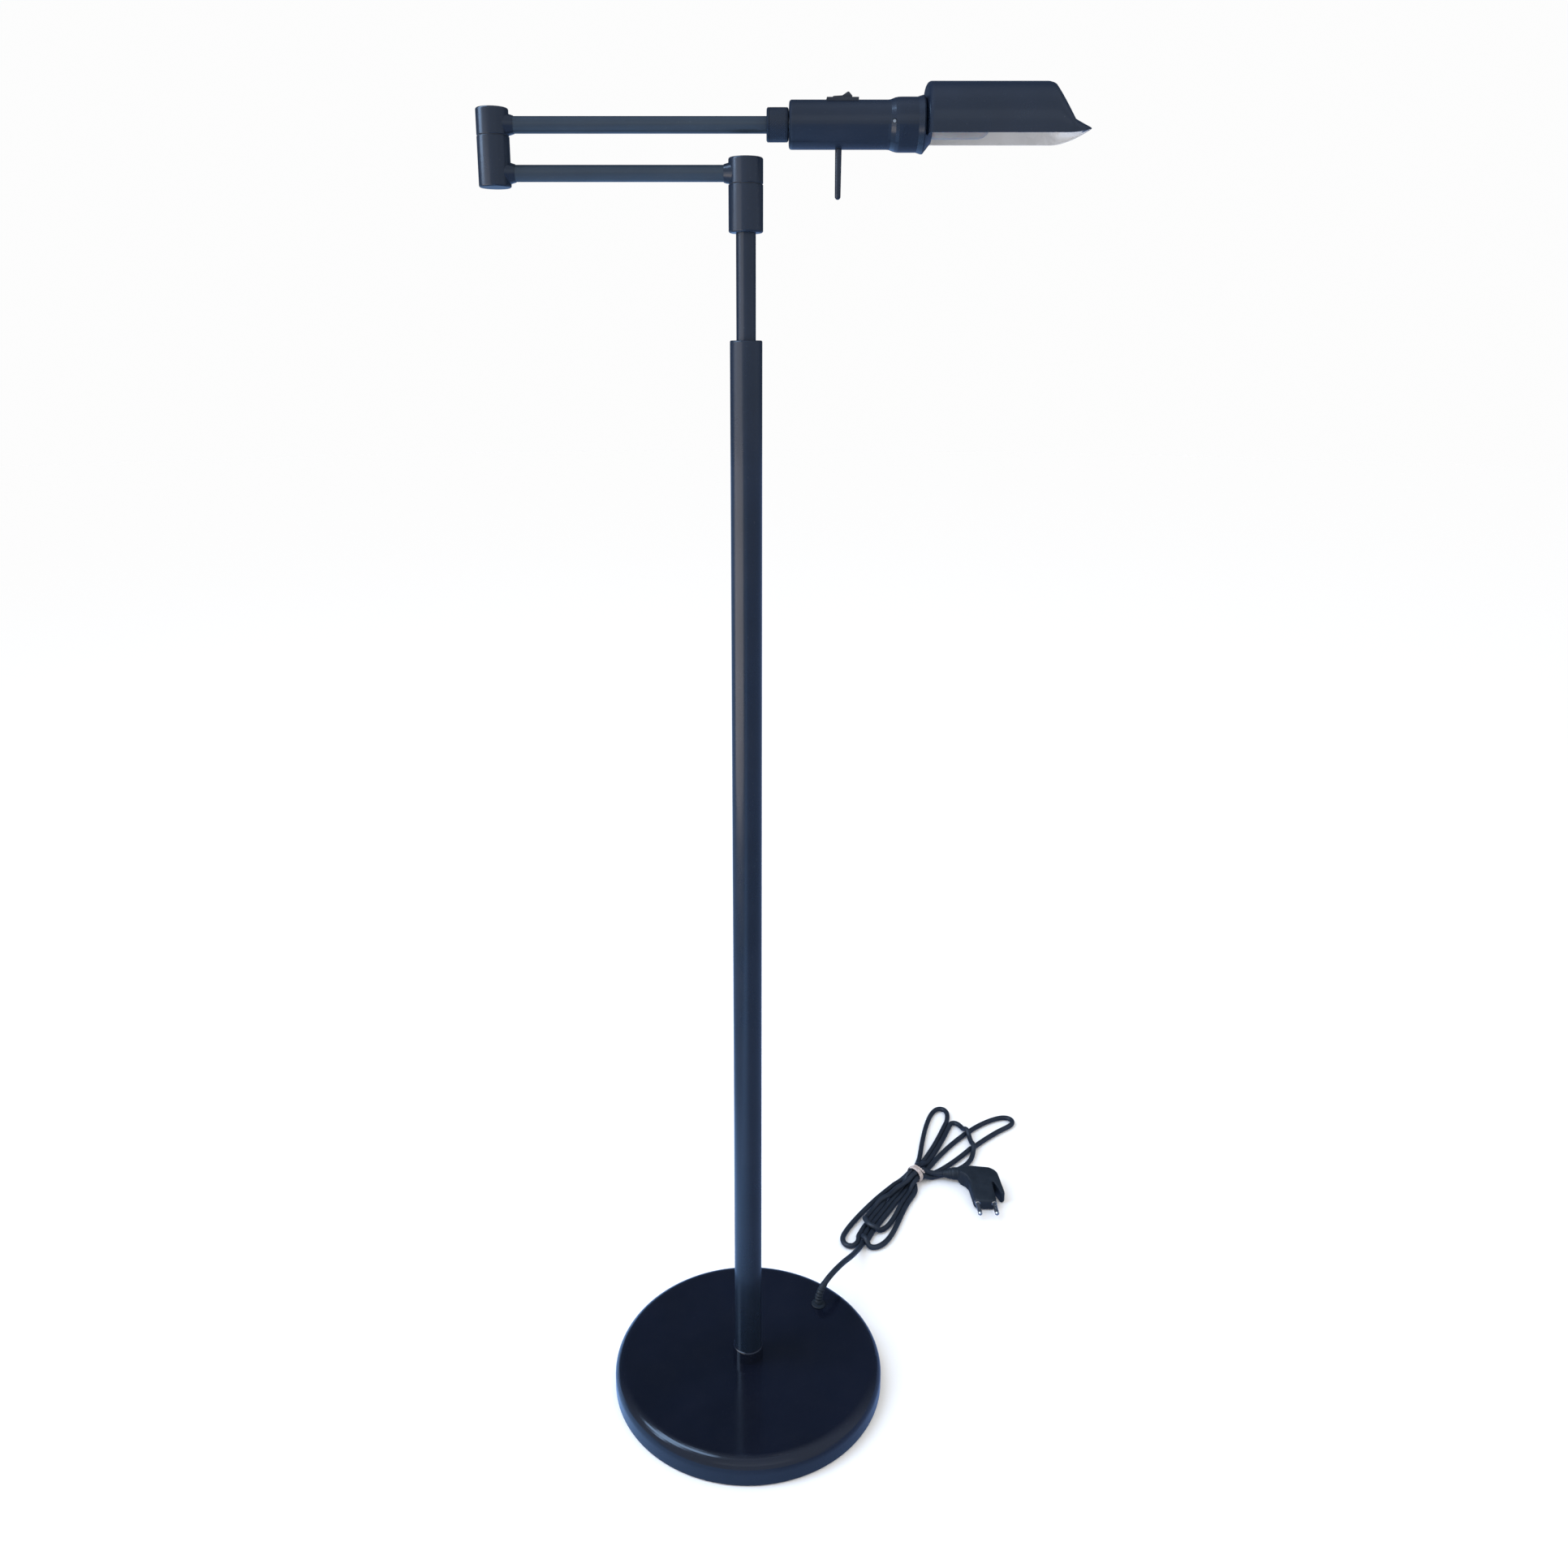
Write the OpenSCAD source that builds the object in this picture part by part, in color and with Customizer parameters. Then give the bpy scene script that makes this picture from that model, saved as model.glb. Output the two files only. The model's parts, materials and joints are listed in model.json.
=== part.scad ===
// Pharmacy floor lamp: round weighted base, telescopic pole, folding two-piece arm,
// rolling head with a trough shade, and a mains cord tied in a hank.
// Origin: centre of the base's underside, on the floor. +Z up, +X towards the lamp head.

/* [Base] */
// Outer diameter of the base cover
base_d = 252.8; // [230:1:280]
// Height of the base
base_h = 23.4; // [21:0.2:30]
// Radius of the rounded shoulder of the base
base_round = 11.6; // [6:0.2:12]

/* [Pole and mast] */
// Outer diameter of the pole
pole_d = 25; // [24:0.5:26]
// Height of the top of the pole above the floor
pole_top = 958; // [800:1:1100]
// Outer diameter of the sliding mast
mast_d = 15; // [14:0.5:16]
// Exposed length of the mast, from the pole to the hub
mast_out = 78; // [76:1:160]

/* [Arms] */
// Outer diameter of both arm tubes
arm_d = 12; // [11:0.5:13]
// Distance between the hub's axis and the elbow's axis
arm_reach = 187; // [150:1:260]
// Height of the lower arm's axis above the underside of the hub
lower_arm_rise = 42; // [41:0.5:43]
// Height of the upper arm's axis above the lower arm's axis
arm_gap = 33.5; // [32:0.5:36]

/* [Head] */
// Outer diameter of the lamp housing
housing_d = 34; // [33:0.5:36]
// Length of the shade, from its rear wall to the tip of its lip
shade_len = 122; // [110:1:140]
// Outer radius of the shade's rounded crown
shade_r = 31; // [30:0.5:34]
// Length of the handle rod below the housing
rod_len = 35; // [20:1:45]

/* [Cord] */
// Diameter of the mains cord
cord_d = 5.8; // [5.2:0.1:6.4]

/* [Hidden] */

$fn = 96;
fine = 160;
eps = 0.05;
run_gap = 0.05;
black = [0.05, 0.07, 0.10];
zinc = [0.70, 0.70, 0.72];
nylon = [0.88, 0.87, 0.82];
dark_nylon = [0.14, 0.16, 0.19];
brass_c = [0.80, 0.62, 0.30];

// Base
base_r = base_d / 2;
base_wall = 1.2;
felt_t = 1.6;
felt_r = base_r - 6;
rim_z = 0.8;
weight_r = base_r - base_wall - 3;
weight_top = base_h - base_wall - 4;
nut_pocket_h = 6;
nipple_r = 5;
nipple_bore_r = 3.6;
nipple_z0 = 3;
nipple_top = base_h + 22;
cord_exit = [70, 65];
relief_hole_r = 6;

// Pole and mast
pole_r = pole_d / 2;
pole_bore_r = pole_r - 1.2;
collar_r = pole_r + 1.5;
collar_h = 12;
cap_h = 3;
sleeve_len = 40;
mast_r = mast_d / 2;
mast_bore_r = mast_r - 1.4;
mast_low = 360;
mast_bush_len = 24;

// Hub: its underside, its seam and its top
hub_r = 13;
hub_z0 = pole_top + mast_out;
hub_seam = hub_z0 + 34;
hub_top = hub_z0 + 53;
lower_z = hub_z0 + lower_arm_rise;
pivot_r = 5;
pivot_bore_r = 3.4;
washer_t = 0.6;
floor_t = 3;

// Elbow
elbow_r = 12;
elbow_x = -arm_reach;
elbow_z0 = lower_z - 10;
upper_z = lower_z + arm_gap;
elbow_seam = upper_z - 8;
elbow_top = upper_z + 11.5;
arm_r = arm_d / 2;
arm_bore_r = arm_r - 1.1;
boss_root_r = arm_r + 3;
boss_tip_r = arm_r + 0.4;
boss_back = 5;
boss_len = 3.5;

// Head, measured along X from the pole's axis
ring_x = 15.4;
ring_len = 16.2;
ring_r = 12;
housing_x = 32;
housing_r = housing_d / 2;
housing_wall = 1.5;
housing_end = 104.2;
holder_x = 86;
bell_full_x = 114.5;
bell_r = housing_r + 2;
bell_lip_x = 129;
bell_lip_r = bell_r + 1.2;
bell_front_x = 136.5;
shade_x = 132.5;
shade_tip = shade_x + shade_len;
shade_wall = 1.1;
rod_x = 68.7;
rod_r = 2.25;
switch_x = 71.1;
switch_len = 23.4;
switch_w = 14;
bulb_r = 10;
bulb_end_x = 181;

// Shade outline, heights measured from the head's axis
crown_mid = -1.6;
rim_drop = 9.5;
tip_drop = 3.5;
crown_h = crown_mid + shade_r;
front_round_x = shade_tip - 22;
nose_top_x = shade_tip - 34.5;
nose_foot_x = shade_tip - 16;
nose_foot_h = 4;

// Route of the cord's free lead, from the hole in the base cover to the hank
lead_points = [
    [70, 65, base_h], [70.5, 65.5, 31], [72.5, 67.5, 38], [77, 72.5, 43], [83, 80, 45.5], [90, 91, 44.5],
    [97.5, 106, 39.5], [105, 123, 31.5], [111, 140, 22.5], [116, 156, 14], [120, 169, 7.5], [124, 180, 4]
];
lead_sides = 10;
lead_steps = 4;
relief_rings = 12;
relief_r = 4.4;

// Hank, plug and tie, lying on the floor
hank_z0 = 0.3;
hank_t = 12;
tie_at = [195, 294];
tie_turn = 47;
tie_r = 9.6;
tie_z = tie_r + 0.2;
plug_t = 18;
plug_z0 = 0.3;
neck_z = 8.5;
pin_r = 2.4;
pin_len = 19;
pin_xs = [260.5, 279.5];
plug_face_y = 241;

// ---------- helpers ----------

// Vertical tube
module tube(r, bore, h) {
    difference() {
        cylinder(r = r, h = h);
        translate([0, 0, -eps]) cylinder(r = bore, h = h + 2 * eps);
    }
}

// Tube along +X that starts at x0, at height z
module tube_x(x0, x1, z, r, bore) {
    translate([x0, 0, z]) rotate([0, 90, 0]) tube(r, bore, x1 - x0);
}

// Solid rod along +X
module bar_x(x0, x1, z, r) {
    translate([x0, 0, z]) rotate([0, 90, 0]) cylinder(r = r, h = x1 - x0);
}

// Shape turned about the head's axis from points [x, radius]
module turned_x(points, z) {
    translate([0, 0, z]) rotate([0, 90, 0]) rotate_extrude($fn = fine)
        polygon([for (p = points) [p[1], p[0]]]);
}

// Points of a quarter round in the plane, from angle a0 to a1
function arc_points(cx, cy, r, a0, a1, n = 8) =
    [for (i = [0 : n]) [cx + r * cos(a0 + (a1 - a0) * i / n), cy + r * sin(a0 + (a1 - a0) * i / n)]];

// Hexagonal nut with its bore, standing on z = 0
module hex_nut(across_flats, h, bore) {
    difference() {
        cylinder(r = across_flats / sqrt(3), h = h, $fn = 6);
        translate([0, 0, -eps]) cylinder(r = bore, h = h + 2 * eps, $fn = 48);
    }
}

// Upright barrel with rounded outer edges, from z0 to z1
module barrel(r, z0, z1, round_low, round_high) {
    low = round_low > 0 ? arc_points(r - round_low, z0 + round_low, round_low, -90, 0) : [[r, z0]];
    high = round_high > 0 ? arc_points(r - round_high, z1 - round_high, round_high, 0, 90) : [[r, z1]];
    rotate_extrude($fn = fine) polygon(concat([[0, z0]], low, high, [[0, z1]]));
}

// ---------- base ----------

// Outer outline of the base cover, shrunk by d
function cover_outline(d) = concat(
    [[0, base_h - d]],
    arc_points(base_r - base_round, base_h - base_round, base_round - d, 90, 0, 12),
    [[base_r - d, rim_z]]
);

module base_cover() {
    color(black) difference() {
        rotate_extrude($fn = fine) polygon(concat(cover_outline(0), [[0, rim_z]]));
        translate([0, 0, -eps]) rotate_extrude($fn = fine)
            polygon(concat(cover_outline(base_wall), [[0, rim_z]]));
        translate([0, 0, base_h / 2]) cylinder(r = nipple_r + 0.2, h = base_h);
        translate([cord_exit[0], cord_exit[1], base_h / 2]) cylinder(r = relief_hole_r, h = base_h);
    }
}

module base_weight() {
    color([0.25, 0.25, 0.26]) difference() {
        union() {
            translate([0, 0, felt_t]) cylinder(r = weight_r, h = weight_top - felt_t, $fn = fine);
            translate([0, 0, weight_top - eps]) cylinder(r = 24, h = base_h - base_wall - weight_top - eps);
        }
        translate([0, 0, -eps]) cylinder(r = nipple_r + 0.3, h = base_h);
        translate([0, 0, -eps]) cylinder(r = 16, h = felt_t + nut_pocket_h + eps);
        translate([cord_exit[0], cord_exit[1], felt_t - eps]) cylinder(r = 11, h = base_h);
        rotate([0, 0, atan2(cord_exit[1], cord_exit[0])]) translate([0, -4, -eps])
            cube([norm(cord_exit), 8, felt_t + nut_pocket_h + 1]);
    }
}

module base_felt() {
    color([0.10, 0.12, 0.10]) cylinder(r = felt_r, h = felt_t, $fn = fine);
}

module pole_nipple() {
    color(zinc) translate([0, 0, nipple_z0]) tube(nipple_r, nipple_bore_r, nipple_top - nipple_z0);
}

module base_washer() {
    color(zinc) translate([0, 0, felt_t + nut_pocket_h - 1.6]) tube(14, nipple_r + 0.1, 1.6);
}

module base_nut() {
    color(zinc) translate([0, 0, felt_t + 0.4]) rotate([0, 0, 15])
        hex_nut(14, nut_pocket_h - 2, nipple_r);
}

module foot_collar() {
    color(black) translate([0, 0, base_h]) difference() {
        barrel(collar_r, 0, collar_h, 0, 1.4);
        translate([0, 0, -eps]) cylinder(r = pole_r, h = collar_h + 2 * eps);
    }
}

// ---------- pole ----------

module outer_pole() {
    color(black) translate([0, 0, base_h]) tube(pole_r, pole_bore_r, pole_top - cap_h - base_h);
}

module pole_foot_insert() {
    color(zinc) translate([0, 0, base_h]) tube(pole_bore_r, nipple_r, 22);
}

module pole_top_cap() {
    color(black) difference() {
        barrel(pole_r, pole_top - cap_h, pole_top, 0, 1.2);
        translate([0, 0, pole_top - cap_h - eps]) cylinder(r = mast_r + 0.3, h = cap_h + 2 * eps);
    }
}

module guide_sleeve() {
    color(nylon) translate([0, 0, pole_top - cap_h - sleeve_len])
        tube(pole_bore_r, mast_r + run_gap, sleeve_len);
}

// ---------- mast and hub ----------

module mast_tube() {
    color(black) translate([0, 0, pole_top - mast_low])
        tube(mast_r, mast_bore_r, mast_low + mast_out + 18);
}

module mast_foot_bush() {
    color(nylon) translate([0, 0, pole_top - mast_low])
        tube(pole_bore_r - run_gap - 0.03, mast_r, mast_bush_len);
}

module hub_barrel() {
    color(black) difference() {
        barrel(hub_r, hub_z0, hub_seam, 1.6, 0.5);
        translate([0, 0, hub_z0 - eps]) cylinder(r = mast_r, h = 18 + eps);
        cylinder(r = pivot_r, h = hub_top);
    }
}

module hub_pivot() {
    color(zinc) translate([0, 0, hub_seam - 14]) tube(pivot_r, pivot_bore_r, 14 + washer_t + floor_t + 4.2);
}

module hub_washer() {
    color(dark_nylon) translate([0, 0, hub_seam]) tube(hub_r - 0.6, pivot_r + run_gap, washer_t);
}

module hub_nut() {
    color(zinc) translate([0, 0, hub_seam + washer_t + floor_t + 0.3]) hex_nut(14, 3.4, pivot_r);
}

// Tapered boss on the side of a barrel of radius r, which an arm's tube goes into
module arm_boss(r) {
    translate([0, 0, r - boss_back])
        cylinder(r1 = boss_root_r, r2 = boss_tip_r, h = boss_back + boss_len);
}

// Upper barrel of a swivel: pivot bore, nut cavity and one tube socket that points to dir (+1 or -1) along X
module swivel_head(r, z0, z1, arm_z, dir) {
    difference() {
        union() {
            barrel(r, z0, z1, 0.5, 0);
            intersection() {
                translate([0, 0, arm_z]) rotate([0, dir * 90, 0]) arm_boss(r);
                translate([-50, -50, z0 + 0.4]) cube([100, 100, z1 - z0 + 3]);
            }
        }
        translate([0, 0, z0 - eps]) cylinder(r = pivot_r + run_gap, h = floor_t + 2 * eps);
        translate([0, 0, z0 + floor_t]) cylinder(r = r - 3.4, h = z1 - z0);
        translate([dir * (r - 3), 0, arm_z]) rotate([0, dir * 90, 0]) cylinder(r = arm_r, h = boss_len + 5);
        translate([dir * (r - 6), 0, arm_z]) rotate([0, dir * 90, 0]) cylinder(r = 3.4, h = 6);
    }
}

// Cap that closes the nut cavity of a swivel head
module swivel_cap(r, z0, z1) {
    barrel(r, z0, z1, 0, 1.4);
    translate([0, 0, z0 - 1.5]) cylinder(r = r - 3.45, h = 1.5 + eps);
}

module hub_head() {
    color(black) swivel_head(hub_r, hub_seam + washer_t, hub_top - 2.4, lower_z, -1);
}

module hub_cap() {
    color(black) swivel_cap(hub_r, hub_top - 2.4, hub_top);
}

// ---------- lower arm and elbow ----------

module lower_arm_tube() {
    color(black) tube_x(elbow_x + elbow_r - 3, -(hub_r - 3), lower_z, arm_r, arm_bore_r);
}

module elbow_barrel() {
    color(black) translate([elbow_x, 0, 0]) difference() {
        union() {
            barrel(elbow_r, elbow_z0 + 2.4, elbow_seam, 0, 0.5);
            intersection() {
                translate([0, 0, lower_z]) rotate([0, 90, 0]) arm_boss(elbow_r);
                translate([-50, -50, elbow_z0 + 2.6]) cube([100, 100, 60]);
            }
        }
        translate([0, 0, elbow_z0]) cylinder(r = elbow_r - 3.4, h = elbow_seam - 6 - elbow_z0);
        translate([0, 0, elbow_z0]) cylinder(r = pivot_r, h = 80);
        translate([elbow_r - 3, 0, lower_z]) rotate([0, 90, 0]) cylinder(r = arm_r, h = boss_len + 5);
        translate([elbow_r - 6, 0, lower_z]) rotate([0, 90, 0]) cylinder(r = 3.4, h = 6);
    }
}

module elbow_bottom_cap() {
    color(black) translate([elbow_x, 0, 0]) {
        barrel(elbow_r, elbow_z0, elbow_z0 + 2.4, 1.4, 0);
        translate([0, 0, elbow_z0 + 2.4 - eps]) cylinder(r = elbow_r - 3.45, h = 1.2);
    }
}

module elbow_pivot() {
    color(zinc) translate([elbow_x, 0, elbow_seam - 10.5])
        tube(pivot_r, pivot_bore_r, 10.5 + washer_t + floor_t + 4.2);
}

module elbow_lock_nut() {
    color(zinc) translate([elbow_x, 0, elbow_seam - 6 - 3.6]) hex_nut(13, 3.4, pivot_r);
}

module elbow_washer() {
    color(dark_nylon) translate([elbow_x, 0, elbow_seam]) tube(elbow_r - 0.6, pivot_r + run_gap, washer_t);
}

module elbow_nut() {
    color(zinc) translate([elbow_x, 0, elbow_seam + washer_t + floor_t + 0.3]) hex_nut(13, 3.4, pivot_r);
}

module elbow_head() {
    color(black) translate([elbow_x, 0, 0])
        swivel_head(elbow_r, elbow_seam + washer_t, elbow_top - 2.4, upper_z, 1);
}

module elbow_cap() {
    color(black) translate([elbow_x, 0, 0]) swivel_cap(elbow_r, elbow_top - 2.4, elbow_top);
}

// ---------- upper arm and head swivel ----------

module upper_arm_tube() {
    color(black) tube_x(elbow_x + elbow_r - 3, ring_x + 6, upper_z, arm_r, arm_bore_r);
}

module swivel_stub() {
    color(zinc) {
        tube_x(ring_x - 12, ring_x + 6 + eps, upper_z, arm_bore_r, 2.8);
        tube_x(ring_x + 6, housing_x + 11, upper_z, pivot_r, 2.8);
    }
}

module stub_nut() {
    color(zinc) translate([housing_x + 3.3, 0, upper_z]) rotate([0, 90, 0]) hex_nut(14, 4, pivot_r);
}

module lock_ring() {
    color(black) difference() {
        turned_x(concat(
            [[ring_x, 0], [ring_x, ring_r - 1.2]], [[ring_x + 1.2, ring_r]],
            [[ring_x + ring_len - 1.2, ring_r], [ring_x + ring_len, ring_r - 1.2], [ring_x + ring_len, 0]]), upper_z);
        bar_x(ring_x - eps, ring_x + 6.6, upper_z, arm_r + run_gap);
        bar_x(ring_x, ring_x + ring_len + eps, upper_z, pivot_r + run_gap);
    }
}

// ---------- head ----------

module head_housing() {
    spigot_r = housing_r - 1.1;
    color(black) difference() {
        union() {
            turned_x(concat(
                [[housing_x, 0]],
                [for (a = [0 : 15 : 90]) [housing_x + 2 - 2 * cos(a), housing_r - 2 + 2 * sin(a)]],
                [[housing_end, housing_r], [housing_end, 0]]), upper_z);
            bar_x(housing_end - eps, housing_end + 8, upper_z, spigot_r);
        }
        bar_x(housing_x + 3, housing_end + 1, upper_z, housing_r - housing_wall);
        bar_x(housing_end, housing_end + 8 + eps, upper_z, spigot_r - 1.5);
        bar_x(housing_x - eps, housing_x + 4, upper_z, pivot_r + run_gap);
        translate([switch_x - 10, -5.9, upper_z + 8]) cube([20, 11.8, 20]);
        translate([rod_x, 0, upper_z - housing_r - 5]) cylinder(r = 2.1, h = 12, $fn = 48);
        for (side = [-1, 1]) translate([housing_end + 4, 0, upper_z]) rotate([side * 90, 0, 0])
            cylinder(r = 1.25, h = housing_r, $fn = 32);
    }
}

module bell_collar() {
    color(black) difference() {
        turned_x([
            [housing_end, 0], [housing_end, housing_r], [housing_end + 2, housing_r + 0.15],
            [bell_full_x - 5, bell_r - 0.6], [bell_full_x - 2.5, bell_r - 0.1], [bell_full_x, bell_r],
            [bell_lip_x - 3, bell_r], [bell_lip_x, bell_lip_r - 0.3], [bell_lip_x + 1, bell_lip_r],
            [bell_lip_x + 2, bell_lip_r - 0.2], [bell_lip_x + 2.6, bell_lip_r - 1],
            [bell_front_x, 13], [bell_front_x, 0]], upper_z);
        bar_x(housing_end - eps, housing_end + 9.7, upper_z, housing_r - 1.05);
        bar_x(housing_end, housing_end + 13, upper_z, 14.4);
        turned_x([
            [housing_end + 12, 0], [housing_end + 12, 14.4], [housing_end + 14, 17.2], [bell_lip_x, 17.2],
            [bell_front_x - 2, 11.6], [bell_front_x + 1, 11.6], [bell_front_x + 1, 0]], upper_z);
        for (side = [-1, 1]) translate([housing_end + 4, 0, upper_z]) rotate([side * 90, 0, 0])
            cylinder(r = 1.6, h = bell_r + 1, $fn = 32);
    }
}

module collar_screws() {
    color(zinc) for (side = [-1, 1]) translate([housing_end + 4, 0, upper_z]) rotate([side * 90, 0, 0])
        translate([0, 0, housing_r - 2.4]) cylinder(r = 1.2, h = 2.6, $fn = 32);
}

module lampholder() {
    color([0.9, 0.88, 0.82]) difference() {
        union() {
            bar_x(holder_x, housing_end + 8, upper_z, 13.2);
            bar_x(housing_end + 8.1, housing_end + 9.6, upper_z, 15.6);
            bar_x(housing_end + 9.5, 121, upper_z, 12.4);
        }
        bar_x(92, 122, upper_z, 7.25);
        bar_x(85, 93, upper_z, 1.6);
    }
}

module lampholder_contact() {
    color(brass_c) {
        bar_x(92, 92.6, upper_z, 5);
        bar_x(88, 92.3, upper_z, 1.5);
        translate([92.5, -2, upper_z - 1]) cube([1.4, 4, 2]);
    }
}

module bulb_cap() {
    color(brass_c) {
        turned_x([[94, 0], [94, 2.4], [95.6, 3], [96.4, 6.4], [98, 6.8], [118, 6.8], [118, 0]], upper_z);
    }
}

module bulb_glass() {
    color([1, 1, 1, 0.8]) turned_x(concat(
        [[118, 0], [118, 6.9], [121, 7.2], [125, 9], [128, bulb_r]],
        [for (a = [0 : 10 : 90]) [bulb_end_x - bulb_r + bulb_r * sin(a), bulb_r * cos(a)]]), upper_z);
}

// Inset of the shade's outline at its rounded rear edge, at x
rear_round = 3.5;
function rear_inset(x) =
    x >= shade_x + rear_round ? 0 :
    rear_round - sqrt(max(0, pow(rear_round, 2) - pow(shade_x + rear_round - x, 2)));
// Fall of the nose from 1 to 0: flat at first, then steep
function nose_fall(t) = t < 0.3 ? 1 - 0.6 * t * t : 1.246 - t - 0.502 * pow(t - 0.3, 2);
// Height of the crown's centre line above the head's axis at x
function crown_at(x) =
    x <= nose_top_x ? crown_h - rear_inset(x) :
    x <= nose_foot_x ? nose_foot_h + (crown_h - nose_foot_h) *
        nose_fall((x - nose_top_x) / (nose_foot_x - nose_top_x)) :
    -tip_drop + (nose_foot_h + tip_drop) * pow((shade_tip - x) / (shade_tip - nose_foot_x), 1.35);
// Share of the front rounding that is left at x, from 1 behind it to 0 at the tip
function front_share(x) =
    x <= front_round_x ? 1 : sqrt(max(0, 1 - pow((x - front_round_x) / (shade_tip - front_round_x), 2)));
// Half width of the rim at x
function half_width_at(x) = (shade_r - rear_inset(x)) * front_share(x);
// Height of the rim at x
function rim_at(x) =
    x <= front_round_x ? -rim_drop :
    -rim_drop + (rim_drop - tip_drop) * pow((x - front_round_x) / (shade_tip - front_round_x), 2);

// Cross-section of the trough as points [across, up] from 0 to 1, from one rim over the crown to the other
shade_arc = 14;
side_share = (crown_mid + rim_drop) / (crown_h + rim_drop);
section = concat(
    [[-1, 0], [-1, side_share / 2]],
    [for (i = [0 : shade_arc])
        [-cos(180 * i / shade_arc), side_share + (1 - side_share) * sin(180 * i / shade_arc)]],
    [[1, side_share / 2], [1, 0]]
);
// Places along X of the cross-sections
shade_xs = concat(
    [for (i = [0 : 4]) shade_x + rear_round * (1 - cos(22.5 * i))],
    [(shade_x + nose_top_x) / 2],
    [for (i = [0 : 7]) nose_top_x + (nose_foot_x - nose_top_x) * i / 7],
    [for (i = [1 : 7]) shade_tip - (shade_tip - nose_foot_x) * pow(1 - i / 7.6, 1.6)]
);
// Points of the outer skin (wall = 0) or of the inner skin at one place along X
function skin_points(x, wall) =
    let (
        back = wall * 1.2 * min(1, max(0, (x - nose_top_x) / 6)),
        wide = half_width_at(x),
        tall = crown_at(x) - rim_at(x),
        w = wide - wall * min(1, wide / 6),
        h = tall - wall * min(1, tall / 3)
    )
    [for (p = section) [x - back, p[0] * w, upper_z + rim_at(x) + p[1] * h]];

module shade() {
    n = len(section);
    m = len(shade_xs);
    inner_start = m * n;
    outer_tip = 2 * m * n;
    inner_tip = outer_tip + 1;
    points = concat(
        [for (x = shade_xs) each skin_points(x, 0)],
        [for (x = shade_xs) each skin_points(x, shade_wall)],
        [[shade_tip, 0, upper_z - tip_drop], [shade_tip - shade_wall * 1.25, 0, upper_z - tip_drop]]
    );
    cells = [for (i = [0 : m - 2]) for (j = [0 : n - 2])
        [i * n + j, i * n + j + 1, (i + 1) * n + j + 1, (i + 1) * n + j]];
    last = (m - 1) * n;
    edge = concat(
        [for (i = [0 : m - 1]) i * n], [-1], [for (i = [m - 1 : -1 : 0]) i * n + n - 1],
        [for (j = [n - 2 : -1 : 0]) j]
    );
    function inner_of(k) = k < 0 ? inner_tip : k + inner_start;
    function outer_of(k) = k < 0 ? outer_tip : k;
    faces = concat(
        [for (c = cells) [c[0], c[1], c[2]]],
        [for (c = cells) [c[0], c[2], c[3]]],
        [for (c = cells) [inner_start + c[2], inner_start + c[1], inner_start + c[0]]],
        [for (c = cells) [inner_start + c[3], inner_start + c[2], inner_start + c[0]]],
        [for (j = [0 : n - 2]) [last + j, last + j + 1, outer_tip]],
        [for (j = [0 : n - 2]) [inner_start + last + j + 1, inner_start + last + j, inner_tip]],
        [for (k = [0 : len(edge) - 2]) [outer_of(edge[k]), outer_of(edge[k + 1]), inner_of(edge[k + 1])]],
        [for (k = [0 : len(edge) - 2]) [outer_of(edge[k]), inner_of(edge[k + 1]), inner_of(edge[k])]]
    );
    color(black) polyhedron(points = points, faces = faces);
}

module shade_rear_wall() {
    plate_r = shade_r - rear_round - shade_wall - 0.05;
    color(black) translate([shade_x, 0, upper_z]) rotate([90, 0, 90]) linear_extrude(shade_wall) difference() {
        union() {
            translate([0, crown_mid]) circle(r = plate_r, $fn = fine);
            translate([-plate_r, -rim_drop]) square([2 * plate_r, crown_mid + rim_drop]);
        }
        circle(r = 17.9, $fn = fine);
        translate([-15.2, -rim_drop - 20]) square([30.4, 20]);
        translate([-shade_r, -rim_drop - 30]) square([2 * shade_r, 30]);
    }
}

// ---------- handle and switch ----------

module handle_rod() {
    low = upper_z - housing_r - rod_len;
    color(black) translate([rod_x, 0, 0]) rotate_extrude($fn = 48) polygon(concat(
        [for (a = [0 : 15 : 90]) [(rod_r - 0.1) * sin(a), low + (rod_r - 0.1) * (1 - cos(a))]],
        [[rod_r + 0.15, upper_z - housing_r - 0.1], [2, upper_z - housing_r - 0.1],
         [2, upper_z - housing_r + 5.4], [0, upper_z - housing_r + 5.4]]));
}

module handle_nut() {
    color(zinc) translate([rod_x, 0, upper_z - housing_r + housing_wall + 0.6]) hex_nut(7, 2.6, 2);
}

module switch_case() {
    color([0.08, 0.08, 0.09]) difference() {
        union() {
            translate([switch_x - switch_len / 2, -switch_w / 2, upper_z + housing_r - 2.6])
                cube([switch_len, switch_w, 3.5]);
            translate([switch_x - 9.8, -5.7, upper_z + 3]) cube([19.6, 11.4, housing_r - 3]);
        }
        difference() {
            translate([switch_x - 30, -20, upper_z - 20]) cube([60, 40, 40 + housing_r]);
            translate([switch_x - 9.8, -5.7, upper_z + 3]) cube([19.6, 11.4, housing_r]);
            translate([switch_x - 40, 0, upper_z]) rotate([0, 90, 0]) difference() {
                cylinder(r = 60, h = 80);
                translate([0, 0, -1]) cylinder(r = housing_r + 0.03, h = 82, $fn = fine);
            }
        }
        translate([switch_x - 8.3, -4.3, upper_z + housing_r - 7]) cube([16.6, 8.6, 12]);
    }
}

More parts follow.
